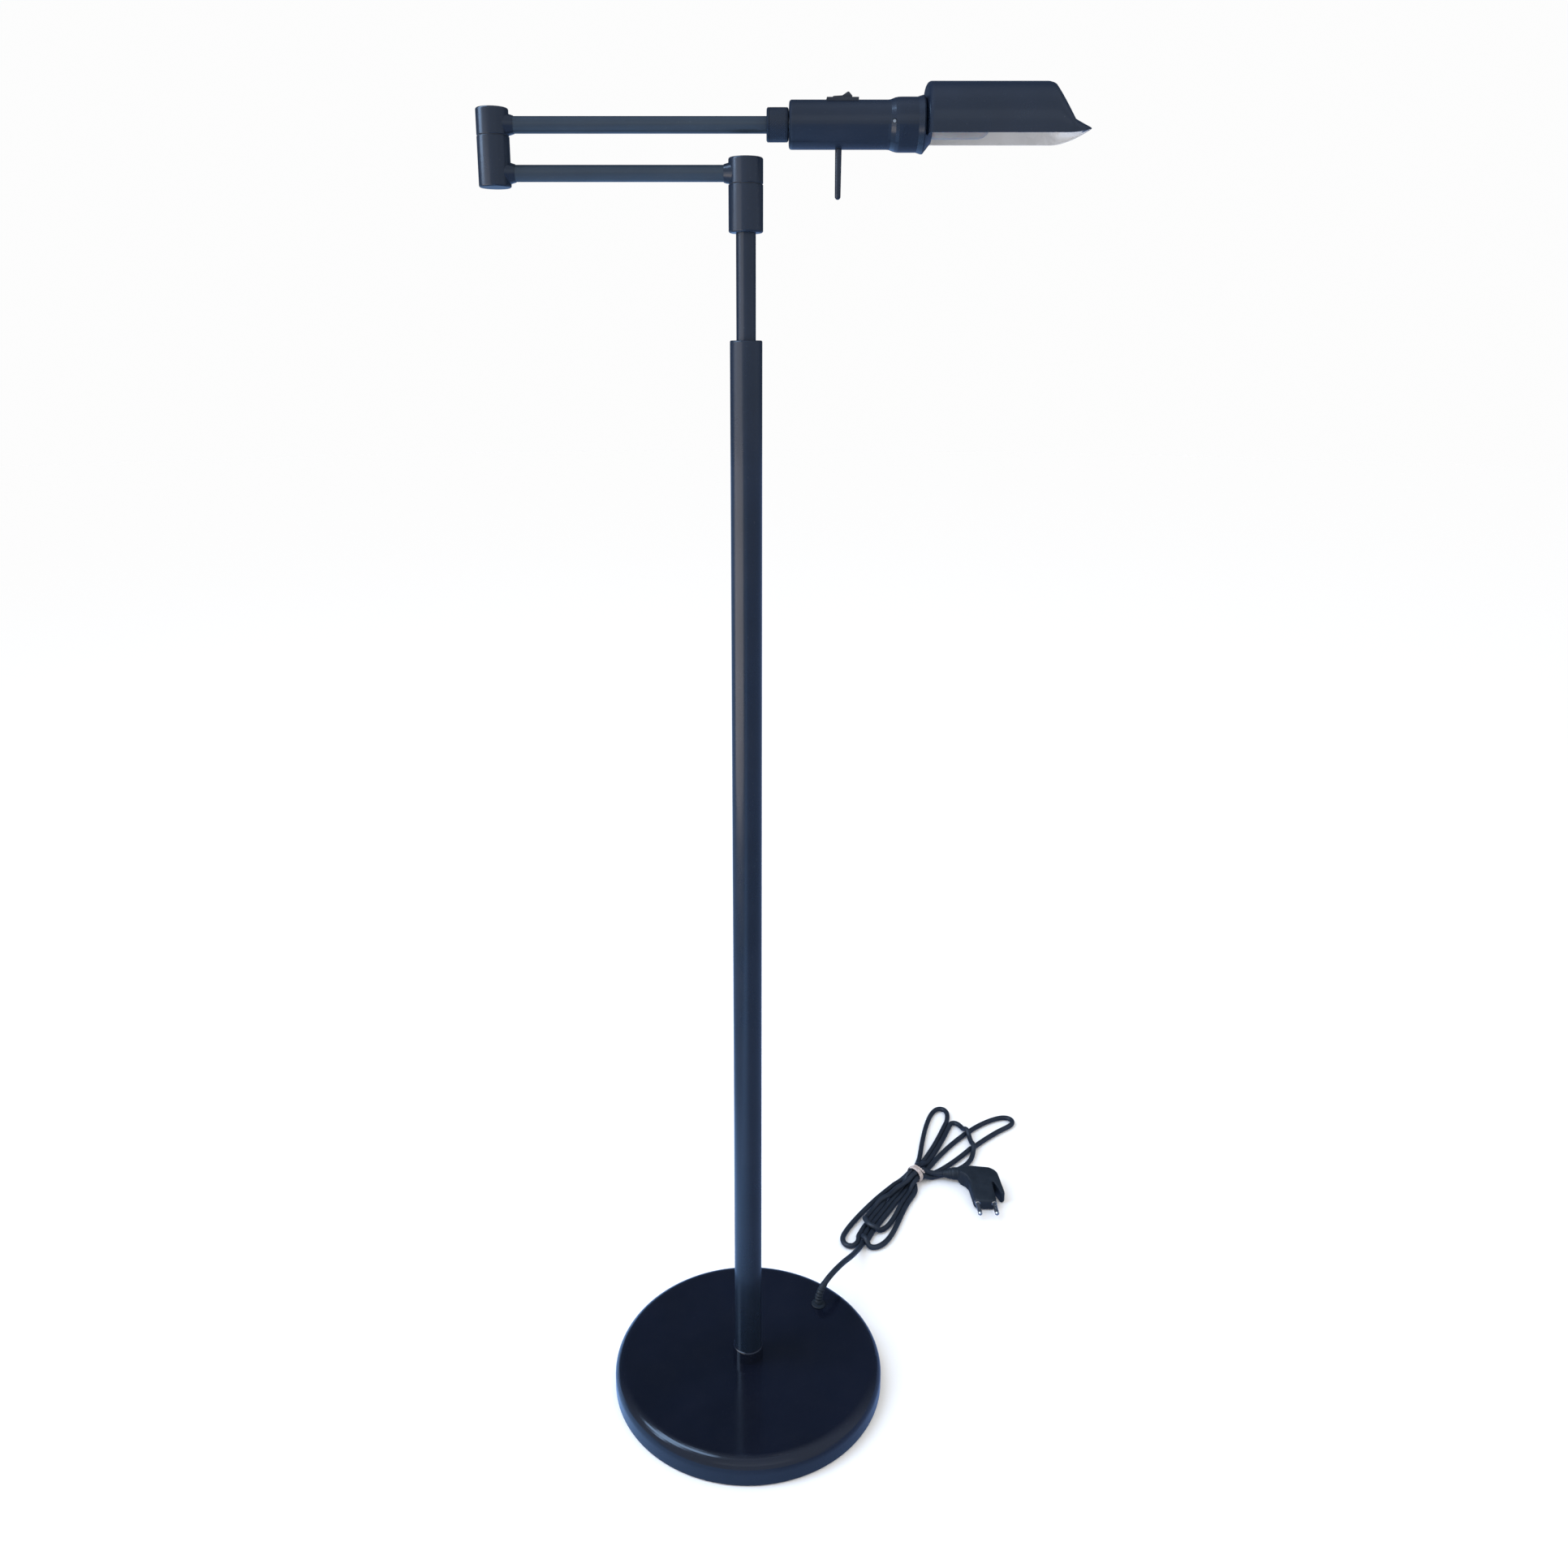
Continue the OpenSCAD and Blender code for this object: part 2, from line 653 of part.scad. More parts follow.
// Height of the rocker's pivot
rocker_z = upper_z + housing_r - 0.6;
module switch_rocker() {
    color([0.10, 0.10, 0.11]) translate([switch_x, 0, rocker_z]) rotate([90, 0, 0]) {
        linear_extrude(8, center = true) polygon([
            [-7.2, -1.6], [7.2, 0.6], [7.0, 3.0], [4.6, 5.6], [3.8, 5.7], [-0.5, 3.0], [-7.3, 2.6]]);
        cylinder(r = 1.2, h = 8.5, center = true, $fn = 32);
    }
}

module switch_terminals() {
    color(brass_c) for (dx = [-5, 5]) translate([switch_x + dx - 0.4, -2.4, upper_z - 3]) cube([0.8, 4.8, 6]);
}

// ---------- flex inside ----------

module base_flex() {
    color([0.12, 0.12, 0.13]) rotate([0, 0, atan2(cord_exit[1], cord_exit[0])]) {
        translate([16.5, 0, 5]) rotate([0, 90, 0]) cylinder(r = 2.8, h = norm(cord_exit) - 16.5, $fn = 32);
        translate([norm(cord_exit), 0, 2.2]) cylinder(r = 2.8, h = base_h - 4 - 2.2, $fn = 32);
    }
}

module pole_flex() {
    color([0.12, 0.12, 0.13]) translate([0, 0, nipple_z0]) cylinder(r = 3, h = pole_top - mast_low - 14, $fn = 32);
}

module mast_flex() {
    color([0.12, 0.12, 0.13]) translate([0, 0, pole_top - mast_low + 110])
        cylinder(r = 3, h = mast_low + mast_out - 110 + 40, $fn = 32);
}

module lower_arm_flex() {
    color([0.12, 0.12, 0.13]) bar_x(elbow_x + 7, -9.4, lower_z, 2.9);
}

module upper_arm_flex() {
    color([0.12, 0.12, 0.13]) bar_x(elbow_x + 8, ring_x - 14, upper_z, 2.9);
    color([0.12, 0.12, 0.13]) bar_x(ring_x - 15, housing_x + 10, upper_z, 2.4);
}

module head_wires() {
    wire_z = upper_z - 1.9;
    color([0.35, 0.2, 0.1]) bar_x(housing_x + 14, switch_x - 5.4, wire_z, 1.1);
    color([0.35, 0.2, 0.1]) bar_x(switch_x + 5.4, holder_x - eps, wire_z, 1.1);
    color([0.1, 0.2, 0.5]) translate([0, 8, 0]) bar_x(housing_x + 14, holder_x - eps, upper_z - 6.5, 1.1);
}

// ---------- mains cord ----------

// Point of a Catmull-Rom curve between b and c at t from 0 to 1
function curve_point(a, b, c, d, t) =
    0.5 * ((2 * b) + (c - a) * t + (2 * a - 5 * b + 4 * c - d) * t * t + (3 * b - a - 3 * c + d) * t * t * t);
function curve(points, steps) =
    let (m = len(points))
    concat(
        [for (i = [0 : m - 2]) for (k = [0 : steps - 1])
            curve_point(points[max(i - 1, 0)], points[i], points[i + 1], points[min(i + 2, m - 1)], k / steps)],
        [points[m - 1]]
    );
function unit(v) = v / norm(v);
// Rings of a tube round a path, kept level so that they never twist
function ring_points(path, radii, sides) = [
    for (i = [0 : len(path) - 1])
        let (
            ahead = unit(path[min(i + 1, len(path) - 1)] - path[max(i - 1, 0)]),
            across = unit(cross(ahead, [0.62, -0.78, 0.05])),
            up = cross(across, ahead)
        )
        for (k = [0 : sides - 1]) path[i] + radii[i] * (cos(360 * k / sides) * across + sin(360 * k / sides) * up)
];
module swept_tube(path, radii, sides) {
    rings = len(path);
    polyhedron(
        points = ring_points(path, radii, sides),
        faces = concat(
            [[for (k = [sides - 1 : -1 : 0]) k]],
            [for (i = [0 : rings - 2]) for (k = [0 : sides - 1])
                let (a = i * sides + k, b = i * sides + (k + 1) % sides)
                each [[a, b + sides, a + sides], [a, b, b + sides]]],
            [[for (k = [0 : sides - 1]) (rings - 1) * sides + k]]
        )
    );
}

lead_path = curve(lead_points, lead_steps);

module cord_strain_relief() {
    boot = [for (i = [0 : relief_rings]) lead_path[i]];
    color([0.06, 0.06, 0.07]) {
        translate([cord_exit[0], cord_exit[1], 0]) rotate_extrude($fn = 64) polygon([
            [0, base_h - 4], [relief_hole_r - 0.5, base_h - 4], [relief_hole_r - 0.1, base_h - base_wall],
            [relief_hole_r - 0.1, base_h + 0.05], [relief_hole_r + 1, base_h + 0.05],
            [relief_hole_r + 1, base_h + 1], [relief_hole_r, base_h + 1.8], [0, base_h + 1.8]]);
        swept_tube(boot, [for (i = [0 : relief_rings]) relief_r - (relief_r - cord_d / 2 - 0.4) * i / relief_rings],
            lead_sides * 2);
    }
}

module cord_lead() {
    free = [for (i = [relief_rings : len(lead_path) - 1]) lead_path[i]];
    color([0.07, 0.08, 0.10]) swept_tube(free, [for (p = free) cord_d / 2], lead_sides);
}

// Flat lobe with round ends: from a point with radius ra to one with radius rb
module lobe(a, ra, b, rb) {
    hull() {
        translate(a) circle(r = ra, $fn = 32);
        translate(b) circle(r = rb, $fn = 32);
    }
}

module cord_hank() {
    color([0.07, 0.08, 0.10]) translate([0, 0, hank_z0]) linear_extrude(hank_t) {
        lobe(tie_at, 9, [114, 190], 11);
        lobe(tie_at, 9, [139, 188], 17);
        lobe(tie_at, 9, [244, 436], 10);
        lobe(tie_at, 9, [264, 366], 12);
        lobe(tie_at, 9, [328, 415], 9);
        lobe(tie_at, 9, [262, 328], 9);
        lobe(tie_at, 9, [228, 297], 5);
    }
}

module cord_tie() {
    color([0.75, 0.68, 0.66]) translate([tie_at[0], tie_at[1], tie_z]) rotate([0, 90, tie_turn]) difference() {
        cylinder(r = tie_r, h = 4, center = true, $fn = 48);
        cylinder(r = tie_r - 0.8, h = 5, center = true, $fn = 48);
    }
}

module plug_body() {
    color([0.06, 0.07, 0.09]) difference() {
        union() {
            translate([228, 297, neck_z]) rotate([0, 90, 0]) cylinder(r1 = 4, r2 = 7, h = 10);
            translate([238, 297, neck_z]) rotate([0, 90, 0]) cylinder(r1 = 7, r2 = 7.6, h = 24);
            translate([0, 0, plug_z0]) linear_extrude(plug_t) polygon(concat(
                arc_points(275, 286, 17, 60, 0), arc_points(288, 254, 5, 0, -90, 4),
                [[286, 262], [284, 250]], arc_points(278, 246, 5, 0, -90, 4),
                arc_points(262, 248, 7, -90, -170), [[255.5, 276], [252, 284], [246, 290], [246, 300]]));
        }
        for (x = pin_xs) translate([x, plug_face_y + 10, neck_z + 0.5]) rotate([90, 0, 0])
            cylinder(r = pin_r + 0.6, h = 20, $fn = 48);
    }
}

module plug_pins() {
    color(zinc) for (x = pin_xs) translate([x, plug_face_y + 10, neck_z + 0.5]) rotate([90, 0, 0]) {
        cylinder(r = pin_r + 0.6, h = 10, $fn = 48);
        cylinder(r = pin_r, h = 10 + pin_len - 1.6, $fn = 48);
        translate([0, 0, 10 + pin_len - 1.65]) cylinder(r1 = pin_r, r2 = pin_r - 1, h = 1.65, $fn = 48);
    }
}

base_cover();
base_weight();
base_felt();
pole_nipple();
base_washer();
base_nut();
foot_collar();
outer_pole();
pole_foot_insert();
pole_top_cap();
guide_sleeve();
mast_tube();
mast_foot_bush();
hub_barrel();
hub_pivot();
hub_washer();
hub_nut();
hub_head();
hub_cap();
lower_arm_tube();
elbow_barrel();
elbow_bottom_cap();
elbow_pivot();
elbow_lock_nut();
elbow_washer();
elbow_nut();
elbow_head();
elbow_cap();
upper_arm_tube();
swivel_stub();
stub_nut();
lock_ring();
head_housing();
bell_collar();
collar_screws();
lampholder();
lampholder_contact();
bulb_cap();
bulb_glass();
shade();
shade_rear_wall();
handle_rod();
handle_nut();
switch_case();
switch_rocker();
switch_terminals();
base_flex();
pole_flex();
mast_flex();
lower_arm_flex();
upper_arm_flex();
head_wires();
cord_strain_relief();
cord_lead();
cord_hank();
cord_tie();
plug_body();
plug_pins();
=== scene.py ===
"""Looks of a pharmacy floor lamp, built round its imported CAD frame.

Metres, +Z up, base centred on the origin. Outlines and the cord's route are written in millimetres.
"""

import json
import math

import bmesh
import bpy
import numpy as np
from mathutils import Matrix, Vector


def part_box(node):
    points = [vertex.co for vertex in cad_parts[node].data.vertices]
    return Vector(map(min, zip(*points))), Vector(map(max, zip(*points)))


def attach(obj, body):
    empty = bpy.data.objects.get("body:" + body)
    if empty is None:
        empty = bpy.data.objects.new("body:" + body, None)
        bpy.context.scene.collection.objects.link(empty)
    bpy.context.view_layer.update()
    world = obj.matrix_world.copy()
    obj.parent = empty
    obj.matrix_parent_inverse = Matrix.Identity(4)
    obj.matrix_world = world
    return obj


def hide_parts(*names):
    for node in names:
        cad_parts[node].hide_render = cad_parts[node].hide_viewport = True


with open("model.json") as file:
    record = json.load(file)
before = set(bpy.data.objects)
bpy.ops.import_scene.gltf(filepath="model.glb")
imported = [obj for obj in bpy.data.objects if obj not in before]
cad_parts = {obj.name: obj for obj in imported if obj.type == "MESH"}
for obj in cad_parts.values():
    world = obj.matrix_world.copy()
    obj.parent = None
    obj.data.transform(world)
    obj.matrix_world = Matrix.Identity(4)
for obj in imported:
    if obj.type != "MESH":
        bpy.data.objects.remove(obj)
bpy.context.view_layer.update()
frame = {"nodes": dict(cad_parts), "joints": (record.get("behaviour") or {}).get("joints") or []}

MM = 0.001
# Pieces that lie along X: lights beyond their far end would mirror in them at a grazing angle
LYING_PIECES = ["lower_arm_tube", "upper_arm_tube", "lock_ring_knurled", "head_housing", "shade_trough"]
JOINTS = {j["name"]: j for j in frame["joints"]}
HEAD_Z = JOINTS["head_roll"]["pos_m"][2]
ROCKER_PIVOT = Vector(JOINTS["switch_tip"]["pos_m"])

# The cord, in millimetres, and TIE_TURN in degrees
CORD_D = 5.8
CORD_EXIT = (70, 65, 23.4)
TIE_AT = (195, 294)
TIE_Z = 9.8
TIE_TURN = 47
PLUG_NECK = (228, 297, 8.5)
# Centreline from the base to the hank
LEAD_ROUTE = [
    CORD_EXIT, (70.5, 65.5, 31), (72.5, 67.5, 38), (77, 72.5, 43), (83, 80, 45.5), (90, 91, 44.5),
    (97.5, 106, 39.5), (105, 123, 31.5), (111, 140, 22.5), (116, 156, 14), (120, 169, 7.5), (124, 180, 4),
]
# Each way through the tie: how far to the left of its middle, and how high
TIE_SEATS = [(0, 9.8), (5.8, 9.8), (2.9, 4.8), (-2.9, 4.8), (2.9, 14.8), (-5.8, 9.8), (-2.9, 14.8)]
# Height of the cord's centreline on the floor, before it settles
ON_FLOOR = 3.4
# Runs of the hank between one way through the tie and the next; a point without a height is on the floor
HANK_RUNS = [
    # from the lead up to the tie
    [(132, 195), (145, 215), (159, 239), (175, 266, 6)],
    # narrow loop beyond the tie
    [(202, 315, 6), (207, 340), (213, 367), (220, 394), (228, 418), (236, 434), (244, 440), (251, 437),
     (253, 427), (250, 411), (243, 392), (234, 372), (224, 351), (214, 331), (204, 312, 6)],
    # short loop beside the lead
    [(181, 290, 7), (162, 275), (142, 252), (122, 225), (108, 203), (102, 189), (105, 179), (112, 176),
     (119, 181), (123, 192), (130, 209), (142, 232), (158, 258), (176, 281, 4)],
    # long loop beyond the tie
    [(210, 312, 4), (226, 333), (246, 359), (268, 383), (290, 403), (309, 415), (323, 420), (332, 417),
     (334, 409), (328, 401), (312, 390), (290, 371), (268, 350), (244, 325), (218, 303, 4)],
    # outer loop on the base's side
    [(191, 272, 4), (180, 249), (170, 224), (160, 200), (149, 182), (137, 174), (127, 178, 9),
     (125, 190, 9), (133, 207, 9), (147, 229, 7), (164, 254, 7), (182, 280, 12)],
    # arc over the two loops beyond the tie
    [(203, 312, 13), (217, 334, 9), (230, 357, 4), (240, 378, 4), (248, 396, 4), (255, 408, 4),
     (263, 406, 9), (270, 391, 9), (274, 372, 9), (274, 352, 4), (269, 333), (258, 318), (243, 308, 4),
     (224, 300, 7)],
    # inner loop on the base's side
    [(189, 275, 9), (177, 253, 9), (167, 232, 9), (158, 214, 9), (148, 203, 9), (137, 201, 14),
     (130, 208, 14), (133, 221, 12), (142, 236, 9), (154, 251, 9), (168, 266, 10), (184, 282, 13)],
    # out to the plug
    [(206, 297, 12.5), (216, 298, 10)],
]


# ---------- camera, floor and light ----------


def make_camera():
    """The view of a person who stands in front of the lamp."""
    data = bpy.data.cameras.new("camera")
    data.lens = 29.25
    data.shift_x = 0.0171
    data.shift_y = -0.06
    data.clip_start = 0.01
    camera = bpy.data.objects.new("camera", data)
    camera.location = (0.0085, -1.016, 0.949)
    camera.rotation_euler = (math.radians(90 - 14.83), 0, 0)
    bpy.context.scene.collection.objects.link(camera)
    bpy.context.scene.camera = camera


def area_light(name, place, target, size, power, colour):
    """A soft box that faces target."""
    data = bpy.data.lights.new(name, "AREA")
    data.shape = "RECTANGLE"
    data.size, data.size_y = size
    data.energy = power
    data.color = colour
    light = bpy.data.objects.new(name, data)
    light.location = place
    light.rotation_euler = (Vector(target) - Vector(place)).to_track_quat("-Z", "Y").to_euler()
    light.visible_camera = False
    bpy.context.scene.collection.objects.link(light)
    return light


def link_light(light, name, pieces, state):
    """Lets a light reach only some pieces, or all but some."""
    receivers = bpy.data.collections.new(name)
    for piece in pieces:
        receivers.objects.link(bpy.data.objects.get(piece) or frame["nodes"][piece])
    for member in receivers.collection_objects:
        member.light_linking.link_state = state
    light.light_linking.receiver_collection = receivers


def ray_switch(nodes, links, glossy_input, other_input, output):
    """Shows one shader in reflections and another everywhere else."""
    path = nodes.new("ShaderNodeLightPath")
    mix = nodes.new("ShaderNodeMixShader")
    links.new(path.outputs["Is Glossy Ray"], mix.inputs["Fac"])
    links.new(other_input, mix.inputs[1])
    links.new(glossy_input, mix.inputs[2])
    links.new(mix.outputs[0], output)


def faded(nodes, links, source, start, stop, low, high):
    """A colour that goes from low to high while source goes from start to stop."""
    ramp = nodes.new("ShaderNodeMapRange")
    ramp.inputs["From Min"].default_value = start
    ramp.inputs["From Max"].default_value = stop
    links.new(source, ramp.inputs["Value"])
    mix = nodes.new("ShaderNodeMix")
    mix.data_type = "RGBA"
    links.new(ramp.outputs["Result"], mix.inputs["Factor"])
    for socket, colour in (("A", low), ("B", high)):
        if isinstance(colour, tuple):
            mix.inputs[socket].default_value = (*colour, 1)
        else:
            links.new(colour, mix.inputs[socket])
    return mix.outputs["Result"]


def axis_of(nodes, links, output, axis):
    """One axis of a texture coordinate."""
    place = nodes.new("ShaderNodeTexCoord")
    split = nodes.new("ShaderNodeSeparateXYZ")
    links.new(place.outputs[output], split.inputs[0])
    return split.outputs[axis]


def make_studio():
    """A pale room: white to the eye and on matt surfaces, and a dim room in the reflections on the paint."""
    world = bpy.data.worlds.new("studio")
    world.use_nodes = True
    nodes, links = world.node_tree.nodes, world.node_tree.links
    pale = nodes["Background"]
    pale.inputs["Color"].default_value = (1, 1, 1, 1)
    pale.inputs["Strength"].default_value = 0.98
    ahead, behind = (0.38, 0.46, 0.62), (0.05, 0.075, 0.13)
    y = axis_of(nodes, links, "Generated", "Y")
    dim = nodes.new("ShaderNodeBackground")
    links.new(faded(nodes, links, y, -0.1, 0.6, ahead, behind), dim.inputs["Color"])
    ray_switch(nodes, links, dim.outputs[0], pale.outputs[0], nodes["World Output"].inputs["Surface"])
    bpy.context.scene.world = world

    bpy.ops.mesh.primitive_circle_add(vertices=96, radius=12, fill_type="NGON", location=(0, 0, -0.0003))
    floor = bpy.context.object
    floor.name = "floor"
    material = bpy.data.materials.new("floor_white")
    material.use_nodes = True
    nodes, links = material.node_tree.nodes, material.node_tree.links
    white = nodes["Principled BSDF"]
    white.inputs["Base Color"].default_value = (1, 1, 1, 1)
    white.inputs["Roughness"].default_value = 1
    white.inputs["Specular IOR Level"].default_value = 0
    dark = nodes.new("ShaderNodeEmission")
    far_left, beside_base, right = (0.20, 0.34, 0.62), (0.45, 0.8, 1.5), (0.16, 0.25, 0.5)
    x = axis_of(nodes, links, "Object", "X")
    left = faded(nodes, links, x, -0.5, -0.25, far_left, beside_base)
    links.new(faded(nodes, links, x, -0.25, 0.15, left, right), dark.inputs["Color"])
    ray_switch(nodes, links, dark.outputs[0], white.outputs[0], nodes["Material Output"].inputs["Surface"])
    floor.data.materials.append(material)

    # Each light: name, place, target, size, power, colour
    window = ("window_left", (-1.3, -0.15, 1.9), (0, 0, 0.3), (0.8, 1.8), 26, (0.44, 0.66, 1.0))
    low = ("wall_low", (-1.15, -0.65, 0.42), (0, 0, 0.5), (1.9, 0.7), 8, (1.0, 0.88, 0.76))
    high = ("wall_high", (-1.2, -0.65, 1.05), (0, 0, 1.0), (1.7, 0.5), 2.4, (0.96, 0.96, 1.0))
    area_light("room_ahead", (0.2, -2.6, 2.2), (0, 0, 1.0), (3.2, 1.2), 2.5, (0.8, 0.9, 1.0))
    # The lying pieces get these three as matt light only, and the two walls leave out the base cover
    for name, *settings in (window, low, high):
        unlit = LYING_PIECES if name == "window_left" else [*LYING_PIECES, "base_cover"]
        link_light(area_light(name, *settings), f"{name}_leaves_out", unlit, "EXCLUDE")
        matt = area_light(f"{name}_matt", *settings)
        matt.visible_glossy = False
        link_light(matt, f"{name}_matt_reaches", LYING_PIECES, "INCLUDE")
    bpy.context.scene.view_settings.view_transform = "Standard"


# ---------- materials ----------


class Paintbox:
    """Node graph of one material, with the few patterns that the lamp's finishes are made of.

    fixed sets the shader's other inputs, with _ for each space in their names.
    """

    def __init__(self, name, roughness, metallic=0.0, **fixed):
        self.material = bpy.data.materials.new(name)
        self.material.use_nodes = True
        self.nodes = self.material.node_tree.nodes
        self.links = self.material.node_tree.links
        self.shader = self.nodes["Principled BSDF"]
        self.shader.inputs["Roughness"].default_value = roughness
        self.shader.inputs["Metallic"].default_value = metallic
        for socket, value in fixed.items():
            self.shader.inputs[socket.replace("_", " ")].default_value = value
        self.place = self.nodes.new("ShaderNodeTexCoord").outputs["Object"]

    def noise(self, scale, detail=3, stretch=(1, 1, 1)):
        """Cloudy pattern; scale is features per metre, and stretch draws it out along an axis."""
        mapping = self.nodes.new("ShaderNodeMapping")
        mapping.inputs["Scale"].default_value = stretch
        self.links.new(self.place, mapping.inputs["Vector"])
        noise = self.nodes.new("ShaderNodeTexNoise")
        noise.inputs["Scale"].default_value = scale
        noise.inputs["Detail"].default_value = detail
        self.links.new(mapping.outputs[0], noise.inputs["Vector"])
        return noise.outputs["Fac"]

    def cells(self, scale):
        """Cell pattern, for pits and specks."""
        voronoi = self.nodes.new("ShaderNodeTexVoronoi")
        voronoi.inputs["Scale"].default_value = scale
        self.links.new(self.place, voronoi.inputs["Vector"])
        return voronoi.outputs["Distance"]

    def ramp(self, source, *stops):
        """Colours along a pattern; each stop is (place, colour)."""
        ramp = self.nodes.new("ShaderNodeValToRGB")
        elements = ramp.color_ramp.elements
        for _ in stops[2:]:
            elements.new(0.5)
        for element, (place, colour) in zip(elements, stops):
            element.position = place
            element.color = (*colour, 1)
        self.links.new(source, ramp.inputs["Fac"])
        return ramp.outputs["Color"]

    def mix(self, share, first, second):
        """second over first by share."""
        mix = self.nodes.new("ShaderNodeMix")
        mix.data_type = "RGBA"
        self.links.new(share, mix.inputs["Factor"])
        self.links.new(first, mix.inputs["A"])
        self.links.new(second, mix.inputs["B"])
        return mix.outputs["Result"]

    def spread(self, source, low, high, start=0.3, stop=0.7):
        """The pattern's start to stop stretched to low to high."""
        ranged = self.nodes.new("ShaderNodeMapRange")
        ranged.inputs["From Min"].default_value = start
        ranged.inputs["From Max"].default_value = stop
        ranged.inputs["To Min"].default_value = low
        ranged.inputs["To Max"].default_value = high
        self.links.new(source, ranged.inputs["Value"])
        return ranged.outputs["Result"]

    def colour(self, source):
        self.links.new(source, self.shader.inputs["Base Color"])

    def roughness(self, source):
        self.links.new(source, self.shader.inputs["Roughness"])

    def bumps(self, *layers):
        """Relief in layers; each is (pattern, height in metres)."""
        normal = None
        for source, height in layers:
            bump = self.nodes.new("ShaderNodeBump")
            bump.inputs["Strength"].default_value = 1
            bump.inputs["Distance"].default_value = height
            self.links.new(source, bump.inputs["Height"])
            if normal is not None:
                self.links.new(normal, bump.inputs["Normal"])
            normal = bump.outputs["Normal"]
        self.links.new(normal, self.shader.inputs["Normal"])


def enamel(name, dark, light, sheen_low, sheen_high, peel):
    """Sprayed black enamel: cloudy tone, handling marks in the gloss, orange peel and a few dust specks."""
    box = Paintbox(name, sheen_low, Coat_Weight=0.35, Coat_Roughness=0.12)
    clouds = box.noise(14, 4)
    tone = box.ramp(clouds, (0.35, dark), (0.68, light))
    dust = box.ramp(box.noise(900, 2), (0.70, (0, 0, 0)), (0.78, (1, 1, 1)))
    speck = box.ramp(clouds, (0, (0.10, 0.12, 0.15)), (1, (0.16, 0.17, 0.19)))
    box.colour(box.mix(box.spread(dust, 0, 0.25, 0, 1), tone, speck))
    marks = box.noise(55, 5, (1, 1, 0.35))
    box.roughness(box.spread(marks, sheen_low, sheen_high))
    box.bumps((box.noise(420, 2), peel), (box.noise(1800, 1), peel * 0.12))
    return box.material


def cast_iron():
    """Rough grey casting with sand pits."""
    box = Paintbox("cast_iron", 0.6, 0.75)
    box.colour(box.ramp(box.noise(90, 5), (0.3, (0.05, 0.05, 0.055)), (0.7, (0.16, 0.155, 0.15))))
    box.roughness(box.spread(box.noise(140), 0.45, 0.8))
    box.bumps((box.cells(600), 0.00025), (box.noise(260, 5), 0.0004))
    return box.material


def felt():
    """Pressed dark felt: short crossing fibres and a soft sheen."""
    box = Paintbox("felt", 0.95, Sheen_Weight=0.15, Sheen_Roughness=0.6)
    fibres = box.noise(900, 4, (1, 0.25, 1))
    crossed = box.noise(900, 4, (0.25, 1, 1))
    box.colour(box.mix(
        fibres,
        box.ramp(crossed, (0.3, (0.012, 0.016, 0.014)), (0.75, (0.035, 0.042, 0.038))),
        box.ramp(fibres, (0.3, (0.018, 0.024, 0.021)), (0.75, (0.06, 0.07, 0.064))),
    ))
    box.bumps((fibres, 0.0002), (crossed, 0.0002))
    return box.material


def metal(name, dark, light, rough_low, rough_high):
    """Bright metal with a drawn grain and cloudy tarnish."""
    grain = (1, 1, 12)
    box = Paintbox(name, rough_low, 1.0)
    box.colour(box.ramp(box.noise(60, 4), (0.3, dark), (0.7, light)))
    box.roughness(box.spread(box.noise(300, 4, grain), rough_low, rough_high))
    box.bumps((box.noise(700, 3, grain), 0.00003))
    return box.material


def nylon():
    """Milky moulded nylon."""
    box = Paintbox("nylon", 0.4, Subsurface_Weight=0.15, Subsurface_Scale=0.002)
    box.colour(box.ramp(box.noise(120), (0.3, (0.68, 0.66, 0.60)), (0.7, (0.78, 0.77, 0.72))))
    box.roughness(box.spread(box.noise(400), 0.32, 0.5))
    box.bumps((box.noise(1200, 2), 0.00003))
    return box.material


def porcelain():
    """Glazed porcelain with pinholes in the glaze."""
    box = Paintbox("porcelain", 0.15, Coat_Weight=0.6, Coat_Roughness=0.05)
    box.colour(box.ramp(box.noise(80, 4), (0.3, (0.74, 0.71, 0.64)), (0.7, (0.85, 0.83, 0.77))))
    box.roughness(box.spread(box.noise(220), 0.1, 0.28))
    box.bumps((box.cells(500), 0.00004), (box.noise(150), 0.00008))
    return box.material


def opal_glass():
    """Lamp glass, unlit and dark grey: cloudy inside, smooth outside."""
    box = Paintbox("bulb_opal", 0.18, Subsurface_Weight=0.4, Subsurface_Scale=0.004, Coat_Weight=0.5)
    box.colour(box.ramp(box.noise(40), (0.3, (0.20, 0.20, 0.205)), (0.7, (0.27, 0.27, 0.27))))
    box.roughness(box.spread(box.noise(200), 0.14, 0.24))
    box.bumps((box.noise(90), 0.00004))
    return box.material


def white_enamel():
    """White enamel on the inside of the shade, light grey with a cloudy tone."""
    box = Paintbox("white_enamel", 0.3, Coat_Weight=0.3, Coat_Roughness=0.15)
    box.colour(box.ramp(box.noise(35, 5), (0.25, (0.46, 0.46, 0.47)), (0.75, (0.56, 0.56, 0.57))))
    box.roughness(box.spread(box.noise(90, 4), 0.22, 0.4))
    box.bumps((box.noise(420, 2), 0.00006))
    return box.material


def plastic(name, dark, light, rough_low, rough_high, grain):
    """Moulded plastic with a fine etched grain."""
    box = Paintbox(name, rough_low)
    box.colour(box.ramp(box.noise(70, 4), (0.3, dark), (0.7, light)))
    box.roughness(box.spread(box.noise(260, 3), rough_low, rough_high))
    box.bumps((box.cells(2200), grain), (box.noise(500, 2), grain * 0.6))
    return box.material


